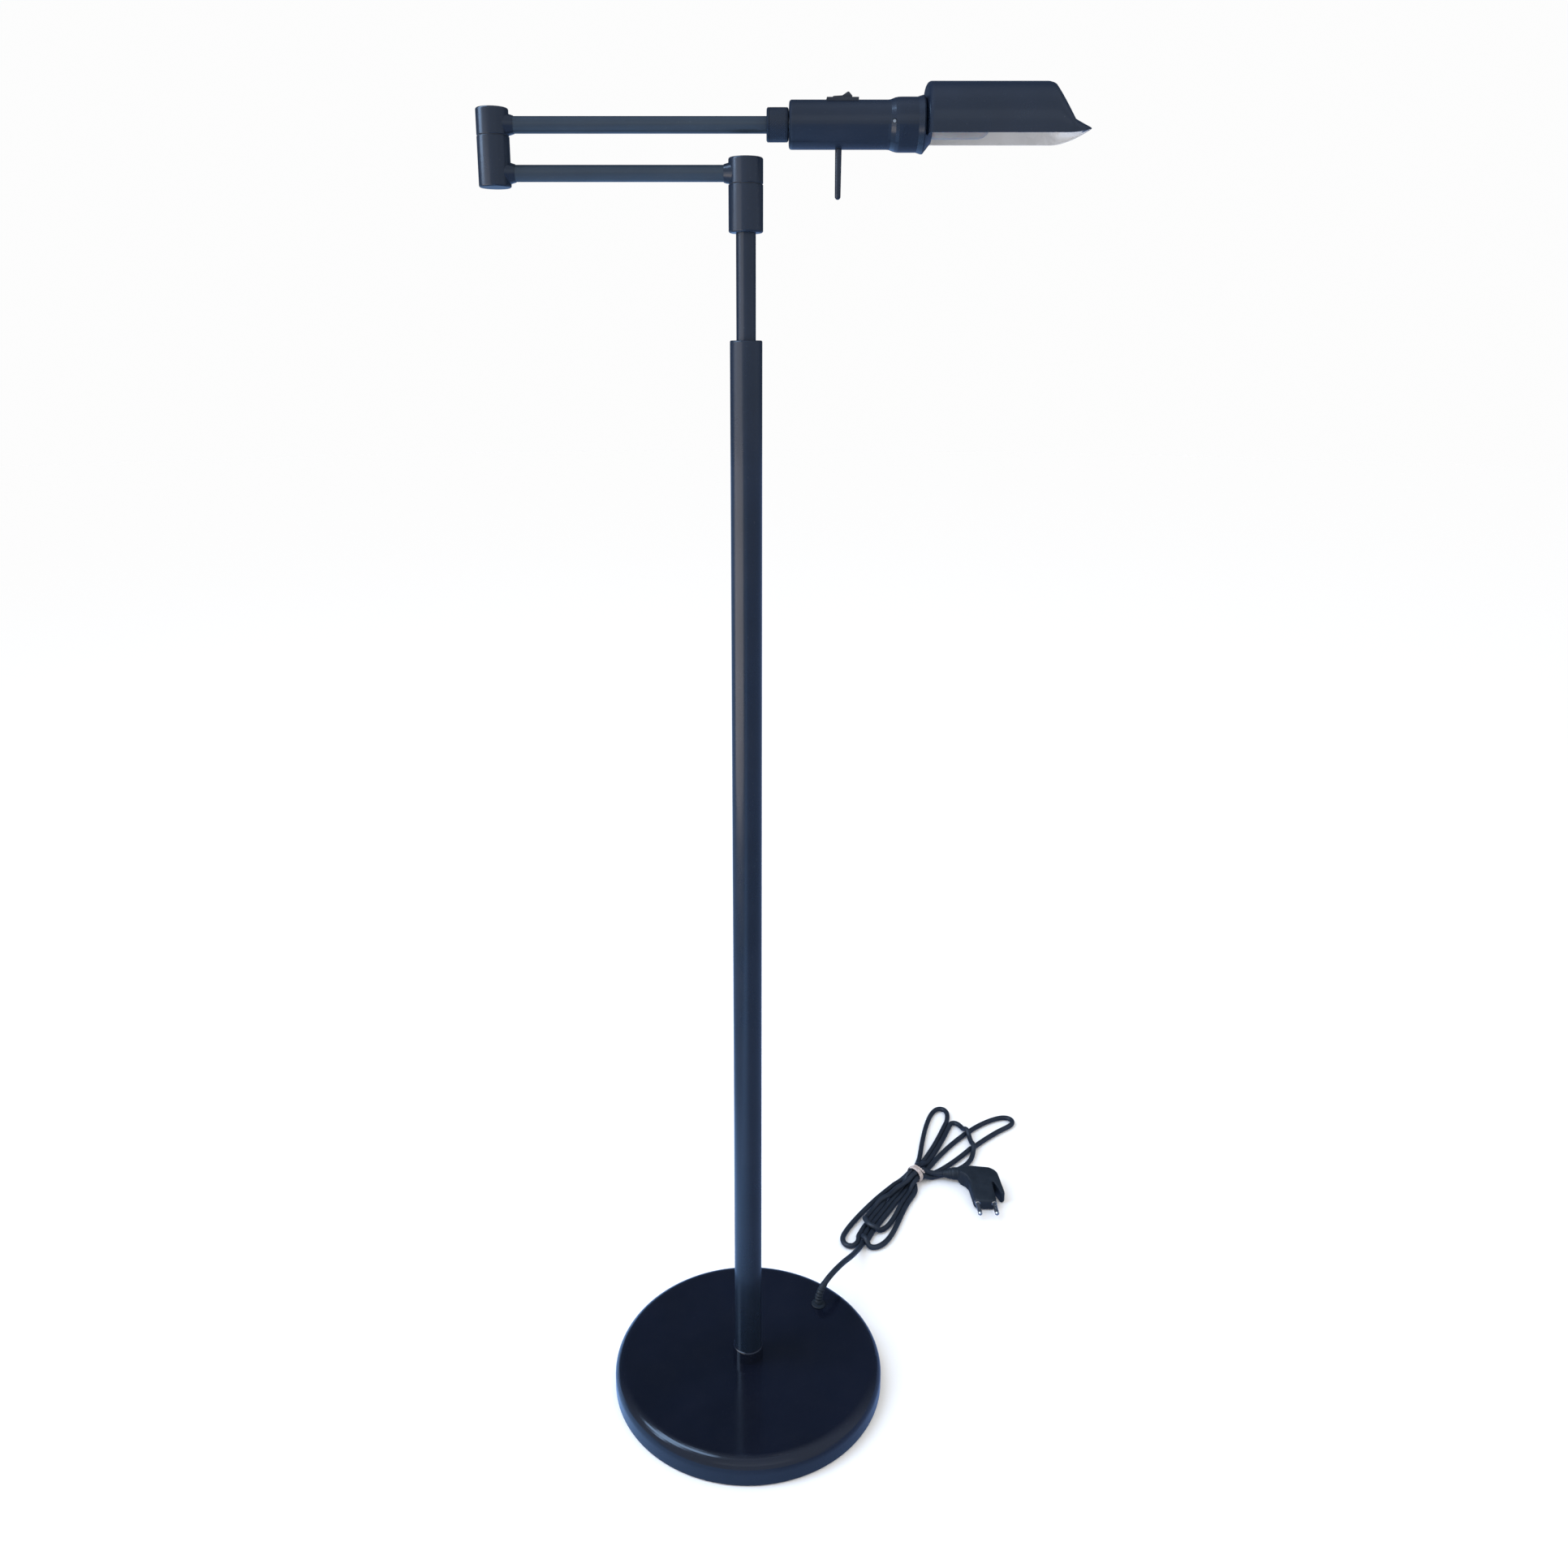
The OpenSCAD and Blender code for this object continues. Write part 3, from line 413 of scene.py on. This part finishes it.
def tie_band():
    """Paper-covered twist tie, creased and a little dirty."""
    box = Paintbox("tie_plastic", 0.7)
    box.colour(box.ramp(box.noise(260, 5), (0.3, (0.36, 0.30, 0.29)), (0.7, (0.62, 0.55, 0.53))))
    box.roughness(box.spread(box.noise(500), 0.55, 0.85))
    box.bumps((box.noise(900, 4), 0.00015))
    return box.material


MATERIALS = {
    "black_gloss": enamel("black_gloss", (0.0025, 0.004, 0.010), (0.004, 0.006, 0.015), 0.12, 0.22, 0.00002),
    "black_paint": enamel("black_paint", (0.004, 0.009, 0.019), (0.007, 0.013, 0.027), 0.24, 0.36, 0.00003),
    "cast_iron": cast_iron(),
    "felt": felt(),
    "zinc_steel": metal("zinc_steel", (0.42, 0.43, 0.42), (0.62, 0.62, 0.58), 0.25, 0.45),
    "nylon": nylon(),
    "black_nylon": plastic("black_nylon", (0.020, 0.025, 0.034), (0.034, 0.040, 0.052), 0.4, 0.55, 0.00002),
    "porcelain": porcelain(),
    "brass": metal("brass", (0.52, 0.36, 0.14), (0.70, 0.52, 0.24), 0.2, 0.38),
    "bulb_cap_metal": metal("bulb_cap_metal", (0.62, 0.60, 0.55), (0.78, 0.77, 0.72), 0.2, 0.36),
    "bulb_opal": opal_glass(),
    "switch_plastic": plastic(
        "switch_plastic", (0.012, 0.016, 0.024), (0.022, 0.027, 0.036), 0.34, 0.5, 0.00003,
    ),
    "flex_black": plastic("flex_black", (0.008, 0.014, 0.025), (0.014, 0.022, 0.036), 0.36, 0.52, 0.00003),
    "wire_insulation": plastic("wire_insulation", (0.30, 0.12, 0.04), (0.42, 0.18, 0.06), 0.4, 0.5, 0.00002),
    "cord_rubber": plastic("cord_rubber", (0.004, 0.010, 0.018), (0.009, 0.017, 0.028), 0.45, 0.62, 0.00006),
    "nickel": metal("nickel", (0.60, 0.58, 0.54), (0.75, 0.73, 0.69), 0.16, 0.3),
    "tie_plastic": tie_band(),
}
WHITE_ENAMEL = white_enamel()
# Lighter copy of the black paint for the arm tubes: painted light, because they look brighter than the
# housing under the same light
LIT_ARM_PAINT = enamel("arm_paint_painted_light", (0.014, 0.026, 0.042), (0.021, 0.035, 0.052), 0.34, 0.48, 0.00003)


def finish_cad_nodes():
    """Gives every CAD node the finish of its slot in the record; the two arm tubes get a lighter copy of the
    black paint, which is painted light.
    """
    for name, node in frame["nodes"].items():
        for slot in node.material_slots:
            slot.material = LIT_ARM_PAINT if name.endswith("arm_tube") else MATERIALS[slot.material.name]


# ---------- mesh helpers ----------


def finished(obj, body, slot, *replaced):
    """Puts a piece on its body, in its slot and in place of its CAD nodes."""
    if not obj.data.materials:
        obj.data.materials.append(MATERIALS[slot])
    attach(obj, body)
    if replaced:
        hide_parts(*replaced)
    return obj


def mesh_object(name, points, faces, sharp=32):
    """A smooth mesh from points in millimetres, with outward normals and creases above sharp degrees."""
    mesh = bpy.data.meshes.new(name)
    mesh.from_pydata([tuple(c * MM for c in p) for p in points], [], faces)
    shaped = bmesh.new()
    shaped.from_mesh(mesh)
    bmesh.ops.remove_doubles(shaped, verts=shaped.verts, dist=1e-6)
    bmesh.ops.recalc_face_normals(shaped, faces=shaped.faces)
    shaped.to_mesh(mesh)
    shaped.free()
    mesh.shade_smooth()
    mesh.set_sharp_from_angle(angle=math.radians(sharp))
    obj = bpy.data.objects.new(name, mesh)
    bpy.context.scene.collection.objects.link(obj)
    return obj


def fillet(corners, steps=5):
    """An outline whose inner corners are rounded: each corner is (along, out) or (along, out, radius)."""
    outline = []
    for i, corner in enumerate(corners):
        here = np.array(corner[:2], float)
        if len(corner) < 3 or i in (0, len(corners) - 1):
            outline.append(here)
            continue
        back = np.array(corners[i - 1][:2], float) - here
        on = np.array(corners[i + 1][:2], float) - here
        room = 0.49 * min(np.linalg.norm(back), np.linalg.norm(on))
        back /= np.linalg.norm(back)
        on /= np.linalg.norm(on)
        half = math.acos(np.clip(back @ on, -1, 1)) / 2
        cut = min(corner[2] / math.tan(half), room)
        middle = here + (back + on) / np.linalg.norm(back + on) * cut / math.cos(half)
        first = here + back * cut - middle
        last = here + on * cut - middle
        bend = math.atan2(first[0] * last[1] - first[1] * last[0], first @ last)
        for k in range(steps + 1):
            c, s = math.cos(bend * k / steps), math.sin(bend * k / steps)
            outline.append(middle + np.array((first[0] * c - first[1] * s, first[0] * s + first[1] * c)))
    return outline


def grid_faces(rows, columns, wrap_rows=False):
    """Quads between closed rows of points."""
    faces = []
    for i in range(rows if wrap_rows else rows - 1):
        for j in range(columns):
            a, b = i * columns, (i + 1) % rows * columns
            k = (j + 1) % columns
            faces.append((a + j, a + k, b + k, b + j))
    return faces


def capped_faces(rows, columns):
    """Quads between closed rows of points, and a face over each end."""
    first = tuple(range(columns))
    last = tuple(range((rows - 1) * columns, rows * columns))
    return [*grid_faces(rows, columns), first, last]


def turned(name, outline, centre, segments):
    """A lathe-turned piece: outline is (along, radius), spun round the X axis through centre."""
    points = []
    for along, radius in outline:
        for k in range(segments):
            u = radius * math.cos(2 * math.pi * k / segments)
            v = radius * math.sin(2 * math.pi * k / segments)
            points.append([c + o for c, o in zip(centre, (along, u, v))])
    return mesh_object(name, points, grid_faces(len(outline), segments))


# ---------- cord ----------


def smooth_route(points, step):
    """Points every step millimetres along a Catmull-Rom curve through the given ones."""
    p = np.array(points, float)
    p = np.vstack([2 * p[0] - p[1], p, 2 * p[-1] - p[-2]])
    dense = []
    for a, b, c, d in zip(p[:-3], p[1:-2], p[2:-1], p[3:]):
        count = max(2, int(np.linalg.norm(c - b) / 0.5))
        for t in np.arange(count) / count:
            dense.append(0.5 * (2 * b + (c - a) * t + (2 * a - 5 * b + 4 * c - d) * t**2
                                + (3 * b - a - 3 * c + d) * t**3))
    dense = np.array([*dense, p[-2]])
    along = np.concatenate([[0], np.cumsum(np.linalg.norm(np.diff(dense, axis=0), axis=1))])
    places = np.linspace(0, along[-1], int(along[-1] / step) + 1)
    return np.stack([np.interp(places, along, dense[:, k]) for k in range(3)], axis=1)


def hank_route():
    """The whole route as listed, with each way through the tie on its own seat."""
    turn = math.radians(TIE_TURN)
    points = list(LEAD_ROUTE)
    for k, run in enumerate(HANK_RUNS):
        points += [(*place, ON_FLOOR)[:3] for place in run]
        if k < len(TIE_SEATS):
            left, height = TIE_SEATS[k]
            forward = 1 if k % 2 == 0 else -1
            for ahead in (-5 * forward, 5 * forward):
                points.append((
                    TIE_AT[0] + ahead * math.cos(turn) - left * math.sin(turn),
                    TIE_AT[1] + ahead * math.sin(turn) + left * math.cos(turn),
                    height,
                ))
    return points + [PLUG_NECK, (PLUG_NECK[0] + 6, *PLUG_NECK[1:])]


def settle(route):
    """The hank at rest: it keeps its length, lies on the floor and on itself, and never cuts into itself."""
    rounds, spacing, tie_half, near = 260, 3.6, 9.5, 5
    sink, homing, straighten = 0.12, 0.03, 0.22
    home = smooth_route(route, step=spacing)
    x = home.copy()
    floor = CORD_D / 2 + 0.1
    gap = np.linalg.norm(np.diff(home, axis=0), axis=1)
    order = np.arange(len(x))
    lead = int(np.argmin(np.linalg.norm(home - np.array(LEAD_ROUTE[-1]), axis=1)))
    tied = np.hypot(home[:, 0] - TIE_AT[0], home[:, 1] - TIE_AT[1]) < tie_half
    pinned = tied | (order <= lead) | (order >= len(x) - 3)
    apart = np.abs(order[:, None] - order[None, :]) > near
    for _ in range(rounds):
        x[:, 2] -= sink
        x[:, :2] += (home[:, :2] - x[:, :2]) * homing
        x[1:-1] += ((x[:-2] + x[2:]) / 2 - x[1:-1]) * straighten
        for _ in range(2):
            # strands that touch push each other away
            delta = x[:, None] - x[None, :]
            far = np.linalg.norm(delta, axis=2)
            touch = apart & (far < CORD_D)
            push = np.where(touch, (CORD_D + 0.02 - far) / np.maximum(far, 0.2), 0)
            share = np.maximum(touch.sum(axis=1), 1)
            x += (delta * push[:, :, None]).sum(axis=1) / share[:, None] * 0.5
            # each length between two points goes back to what it was
            for first in (0, 1):
                a, b = x[first:-1:2], x[first + 1::2]
                span = b - a
                length = np.linalg.norm(span, axis=1)
                fix = span * ((length - gap[first::2]) / length / 2)[:, None]
                a += fix
                b -= fix
            x[:, 2] = np.maximum(x[:, 2], floor)
            x[pinned] = home[pinned]
    return x


def make_cord():
    """Mains lead from the base to the plug, as one open curve."""
    points = smooth_route(settle(hank_route()), step=2.2)
    data = bpy.data.curves.new("mains_cord", "CURVE")
    data.dimensions = "3D"
    data.bevel_depth = CORD_D / 2 * MM
    data.bevel_resolution = 5
    data.use_fill_caps = True
    spline = data.splines.new("POLY")
    spline.points.add(len(points) - 1)
    for point, place in zip(spline.points, points):
        point.co = (*(place * MM), 1)
    spline.use_smooth = True
    cord = bpy.data.objects.new("mains_cord", data)
    bpy.context.scene.collection.objects.link(cord)
    return finished(cord, "stand", "flex_black", "cord_lead", "cord_hank")


def sweep(name, path, section, sharp=40):
    """A closed piece along path: section(i) gives its (left, up) outline at each point."""
    path = np.array(path, float)
    along = np.gradient(path, axis=0)
    along /= np.linalg.norm(along, axis=1)[:, None]
    up = np.array((0.0, 0.0, 1.0)) if abs(along[0][2]) < 0.9 else np.array((-1.0, 0.0, 0.0))
    points = []
    for i, (place, ahead) in enumerate(zip(path, along)):
        up = up - ahead * (up @ ahead)
        up /= np.linalg.norm(up)
        left = np.cross(up, ahead)
        outline = section(i)
        points += [place + left * u + up * v for u, v in outline]
    return mesh_object(name, points, capped_faces(len(path), len(outline)), sharp)


def ring(radius, count=24):
    """Points of a circle."""
    return [(radius * math.cos(2 * math.pi * k / count), radius * math.sin(2 * math.pi * k / count))
            for k in range(count)]


def make_strain_relief():
    """Rubber boot on the cord where it leaves the base: a flange, a taper and bending grooves."""
    step, boot_h, flange_h = 0.4, 22.8, 1.8
    groove_pitch, groove_w, groove_depth = 2.8, 0.9, 0.4
    path = smooth_route(LEAD_ROUTE, step=step)[:round(boot_h / step) + 1]

    def section(i):
        height = step * i
        if height < flange_h:
            return ring(7.0 if height < 1.2 else 6.6)
        taper = 4.3 - 1.1 * (height - flange_h) / (boot_h - flange_h)
        grooved = 5 < height < 19 and height % groove_pitch < groove_w
        return ring(taper - (groove_depth if grooved else 0))

    boot = sweep("strain_relief_boot", path, section, sharp=50)
    return finished(boot, "stand", "cord_rubber", "cord_strain_relief")


def make_tie():
    """Twist tie: a paper band wound round the hank, with its two ends twisted together."""
    turn = math.radians(TIE_TURN)
    ahead = np.array((math.cos(turn), math.sin(turn), 0))
    left = np.array((-math.sin(turn), math.cos(turn), 0))
    up = np.array((0, 0, 1))
    centre = np.array((*TIE_AT, TIE_Z))
    steps, wound, inside, squash, advance = 130, 1.6, 9.3, (1, 1, 0.93), 3.4
    # The band's section, (across, out): thin, with a wire along its middle
    band_section = (
        (-1.7, 0.1), (-1.4, 0.35), (-0.4, 0.3), (0, 0.55), (0.4, 0.3), (1.4, 0.35), (1.7, 0.1),
        (1.4, -0.2), (0, -0.3), (-1.4, -0.2),
    )

    path, outward = [], []
    for k in range(steps + 1):
        share = k / steps
        angle = math.radians(60) + 2 * math.pi * wound * share
        out = left * math.cos(angle) + up * math.sin(angle)
        radius = inside + 0.7 * share
        path.append(centre + out * radius * squash + ahead * (share - 0.5) * advance)
        outward.append(out)
    points = []
    for i, (place, out) in enumerate(zip(path, outward)):
        along = path[min(i + 1, steps)] - path[max(i - 1, 0)]
        along /= np.linalg.norm(along)
        side = np.cross(along, out)
        points += [place + side * u + out * v for u, v in band_section]
    band = mesh_object("twist_tie_band", points, capped_faces(steps + 1, len(band_section)), sharp=60)
    pieces = [finished(band, "stand", "tie_plastic", "cord_tie")]

    wire_r, tail_steps, tail_len = 0.55, 49, 13
    start = centre + up * (inside + 1.0) + left * 1.5
    for end in (0, 1):
        tail = []
        for k in range(tail_steps + 1):
            share = k / tail_steps
            angle = math.pi * end + 5 * math.pi * share
            lift = 1.2 - 5.5 * share * share
            spread = wire_r + 1.6 * max(0, share - 0.8)
            tail.append(start - left * tail_len * share + up * (lift + spread * math.sin(angle))
                        + ahead * (spread * math.cos(angle) + 3 * share))
        wire = sweep(f"twist_tie_end_{end + 1}", tail, lambda i: ring(wire_r, 10))
        pieces.append(finished(wire, "stand", "tie_plastic"))
    return pieces


def make_plug():
    """Moulded flat plug: a soft-edged body with a notch, and a neck with bending ribs."""
    low, high = (c.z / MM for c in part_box("plug_body"))
    voxel = 0.55 * MM

    def arc(x, y, radius, start, stop):
        angles = [math.radians(start + (stop - start) * k / 10) for k in range(11)]
        return [(x + radius * math.cos(a), y + radius * math.sin(a)) for a in angles]

    outline = np.array([
        *arc(275, 283, 16.5, 65, 5), *arc(291, 257, 3.2, 0, -110), (286, 267), (283.6, 272.5), (281.8, 271),
        (282, 260), *arc(278, 245.5, 4.5, 0, -90), *arc(264, 248, 7, -90, -165), (255.5, 275), (252, 283),
        (246, 289), (246, 299), (262, 301),
    ])
    middle = outline.mean(axis=0)

    def thinned(y, z):
        """The body is thinner at its pins, where y is low."""
        toward_neck = min(1, max(0, (y - 250) / 35))
        return low + (z - low) * (0.72 + 0.28 * toward_neck)

    # Height, and the outline's size there
    levels = [(low, 0.93), (low + 2, 1), (high - 3, 1), (high - 1, 0.97), (high, 0.90)]
    points = []
    for z, share in levels:
        points += [(*(middle + (place - middle) * share), thinned(place[1], z)) for place in outline]
    body = mesh_object("plug_shell", points, capped_faces(len(levels), len(outline)))
    ribs = [(0, 3.6)]
    for k in range(4):
        along, out = 2.6 * k, 0.7 * k
        ribs += [(0.6 + along, 4.2 + out), (1.9 + along, 4.3 + out), (2.1 + along, 3.7 + out)]
    ribs += [(12, 7.0), (34, 7.6), (34, 0)]
    neck = turned("plug_neck", [(0, 0), *ribs], PLUG_NECK, segments=48)
    whole = bmesh.new()
    whole.from_mesh(body.data)
    whole.from_mesh(neck.data)
    whole.to_mesh(body.data)
    whole.free()
    bpy.data.objects.remove(neck)
    remesh = body.modifiers.new("moulded", "REMESH")
    remesh.mode = "VOXEL"
    remesh.voxel_size = voxel
    soften = body.modifiers.new("soft_edges", "SMOOTH")
    soften.iterations = 9
    soften.factor = 0.5
    bpy.context.view_layer.update()
    moulded = bpy.data.meshes.new_from_object(body.evaluated_get(bpy.context.evaluated_depsgraph_get()))
    body.modifiers.clear()
    body.data = moulded
    body.data.shade_smooth()
    return finished(body, "stand", "cord_rubber", "plug_body")


# ---------- head ----------

# The shade, in millimetres; heights and drops are measured from the head's axis
SHADE_BACK, SHADE_TIP = (c.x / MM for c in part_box("shade"))
SHADE_R = 31
SHADE_WALL = 1.1
# Centre of the crown's arc
CROWN_MID = -1.6
CROWN_H = CROWN_MID + SHADE_R
RIM_DROP = 9.5
TIP_DROP = 3.5
REAR_ROUND = 3.5
FRONT_ROUND_X = SHADE_TIP - 22
NOSE_TOP_X = SHADE_TIP - 34.5
NOSE_FOOT_X = SHADE_TIP - 16
NOSE_FOOT_H = 4


def rear_inset(x):
    """How far the rounded rear edge has drawn in at x."""
    to_full = max(0, SHADE_BACK + REAR_ROUND - x)
    return REAR_ROUND - math.sqrt(max(0, REAR_ROUND**2 - to_full**2)) if to_full > 0 else 0


def crown_at(x):
    """Height of the shade's crown over the head's axis at x: level, then the nose, then the flicked tip."""
    if x <= NOSE_TOP_X:
        return CROWN_H - rear_inset(x)
    if x <= NOSE_FOOT_X:
        t = (x - NOSE_TOP_X) / (NOSE_FOOT_X - NOSE_TOP_X)
        fall = 1 - 0.6 * t * t if t < 0.3 else 1.246 - t - 0.502 * (t - 0.3) ** 2
        return NOSE_FOOT_H + (CROWN_H - NOSE_FOOT_H) * fall
    left = (SHADE_TIP - x) / (SHADE_TIP - NOSE_FOOT_X)
    return -TIP_DROP + (NOSE_FOOT_H + TIP_DROP) * left**1.35


def front_share(x):
    """How far x has gone from the start of the rounded front to the tip."""
    return max(0, (x - FRONT_ROUND_X) / (SHADE_TIP - FRONT_ROUND_X))


def half_width_at(x):
    """Half the shade's width at x: full, and then round to the tip."""
    return (SHADE_R - rear_inset(x)) * math.sqrt(max(0, 1 - front_share(x) ** 2))


def rim_at(x):
    """Height of the shade's rim over the head's axis at x."""
    return -RIM_DROP + (RIM_DROP - TIP_DROP) * front_share(x) ** 2


def shade_section():
    """The trough's cross-section from rim to rim, as (across -1 to 1, up 0 to 1)."""
    arc_steps, side_steps = 44, 7
    side = (CROWN_MID + RIM_DROP) / (CROWN_H + RIM_DROP)
    left = [(-1, side * k / side_steps) for k in range(side_steps)]
    arc = [(-math.cos(math.pi * k / arc_steps), side + (1 - side) * math.sin(math.pi * k / arc_steps))
           for k in range(arc_steps + 1)]
    return left + arc + [(1, up) for _, up in reversed(left)]


def make_shade():
    """Pressed steel trough with a flicked tip: black outside and on its rolled rim, white inside."""
    xs = [SHADE_BACK + REAR_ROUND * (1 - math.cos(math.radians(9 * k))) for k in range(11)]
    xs += [xs[-1] + (NOSE_TOP_X - xs[-1]) * k / 20 for k in range(1, 21)]
    xs += [NOSE_TOP_X + (NOSE_FOOT_X - NOSE_TOP_X) * k / 26 for k in range(1, 27)]
    # Closer together towards the tip; the last one stops just short of it, where the width is zero
    xs += [SHADE_TIP - (SHADE_TIP - NOSE_FOOT_X) * (1 - k / 24.2) ** 1.6 for k in range(1, 25)]
    section = shade_section()
    points = []
    for x in xs:
        wide, tall = half_width_at(x), crown_at(x) - rim_at(x)
        back = SHADE_WALL * 1.2 * min(1, max(0, (x - NOSE_TOP_X) / 6))
        thin_w = SHADE_WALL * min(1, wide / 6)
        thin_h = SHADE_WALL * min(1, tall / 3)
        outer = [(x, p * wide, rim_at(x) + q * tall) for p, q in section]
        inner = [(x - back, p * (wide - thin_w), rim_at(x) + q * (tall - thin_h))
                 for p, q in reversed(section)]
        roll = [(x - back / 2, side * (wide - thin_w / 2), rim_at(x) - 0.25) for side in (1, -1)]
        points += [(a, b, c + HEAD_Z / MM) for a, b, c in [*outer, roll[0], *inner, roll[1]]]
    n = len(section)
    loop = 2 * n + 2
    faces = grid_faces(len(xs), loop)
    for row in (0, len(xs) - 1):
        first = row * loop
        faces += [(first + j, first + j + 1, first + 2 * n - j - 1, first + 2 * n - j) for j in range(n - 1)]
        faces += [(first + n - 1, first + n, first + n + 1), (first, first + 2 * n, first + 2 * n + 1)]
    shade = mesh_object("shade_trough", points, faces, sharp=50)
    shade.data.materials.append(MATERIALS["black_paint"])
    shade.data.materials.append(WHITE_ENAMEL)
    # White where a face looks at the shade's middle, which moves back as the nose comes down
    for face in shade.data.polygons:
        into_nose = max(0, face.center.x - NOSE_TOP_X * MM)
        core = Vector((face.center.x - 3 * into_nose, 0, HEAD_Z + CROWN_MID * MM))
        faces_core = face.normal.dot(core - face.center) > 2 * MM
        face.material_index = 1 if faces_core and abs(face.normal.x) < 0.999 else 0
    return finished(shade, "head", "black_paint", "shade")


def make_lock_ring():
    """Knurled ring on the arm, behind the head: diamond knurling between two turned lands."""
    back, front = (c.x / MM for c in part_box("lock_ring"))
    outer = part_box("lock_ring")[1].y / MM
    length = front - back
    ridges, depth, knurl_steps = 40, 0.32, 54
    start, stop = 1.9, length - 1.9
    bore, wide_bore, step_at = 5.05, 6.05, 6.6
    pitch = 2 * math.pi * outer / ridges

    # Rows of points as (along, radius), from the step in the bore forwards round the ring and back to it
    front_rows = [(step_at, bore), (length, bore), (length, outer - 1.3), (length - 0.3, outer - 0.7),
                  (length - 1.0, outer), (length - 1.5, outer), (length - 1.7, outer - 0.35)]
    knurl = [(stop - (stop - start) * k / knurl_steps, outer) for k in range(knurl_steps + 1)]
    rear_rows = [(1.7, outer - 0.35), (1.5, outer), (1.0, outer), (0.3, outer - 0.7), (0, outer - 1.3),
                 (0, wide_bore), (step_at, wide_bore)]
    segments = 6 * ridges
    points = []
    for group, cut in ((front_rows, False), (knurl, True), (rear_rows, False)):
        for along, radius in group:
            for k in range(segments):
                angle = 2 * math.pi * k / segments
                u, v = ridges * angle / (2 * math.pi), along / pitch
                grooves = max(abs((u + v) % 1 - 0.5), abs((u - v) % 1 - 0.5)) * 2
                r = radius - depth * grooves**2 if cut else radius
                points.append((back + along, r * math.cos(angle), HEAD_Z / MM + r * math.sin(angle)))
    count = len(front_rows) + len(knurl) + len(rear_rows)
    knurled = mesh_object("lock_ring_knurled", points, grid_faces(count, segments, wrap_rows=True), sharp=40)
    return finished(knurled, "knurled_ring", "black_paint", "lock_ring")


def make_rocker():
    """Rocker of the switch: a soft-edged wedge with a raised finger ridge."""
    outline = fillet([
        (-7.2, -1.6), (7.2, 0.6, 0.4), (7.0, 3.0, 0.8), (4.6, 5.6, 0.5), (3.8, 5.7, 0.5), (-0.5, 3.0, 1.5),
        (-5.9, 2.7, 0.3), (-7.3, 2.6, 0.5), (-7.2, -1.6),
    ])[:-1]
    half, edge = 4.0, 0.45
    middle = np.mean(outline, axis=0)
    points = []
    for across, inset in ((-half, edge), (-half + edge * 0.3, edge * 0.3), (-half + edge, 0),
                          (half - edge, 0), (half - edge * 0.3, edge * 0.3), (half, edge)):
        for place in outline:
            toward = middle - place
            shifted = place + toward / np.linalg.norm(toward) * inset
            points.append((shifted[0] + ROCKER_PIVOT.x / MM, across, shifted[1] + ROCKER_PIVOT.z / MM))
    faces = capped_faces(len(points) // len(outline), len(outline))
    rocker = mesh_object("switch_rocker_cap", points, faces, sharp=45)
    return finished(rocker, "rocker", "switch_plastic", "switch_rocker")


make_camera()
finish_cad_nodes()
cord = make_cord()
boot = make_strain_relief()
ties = make_tie()
plug = make_plug()
make_shade()
make_lock_ring()
make_rocker()
make_studio()
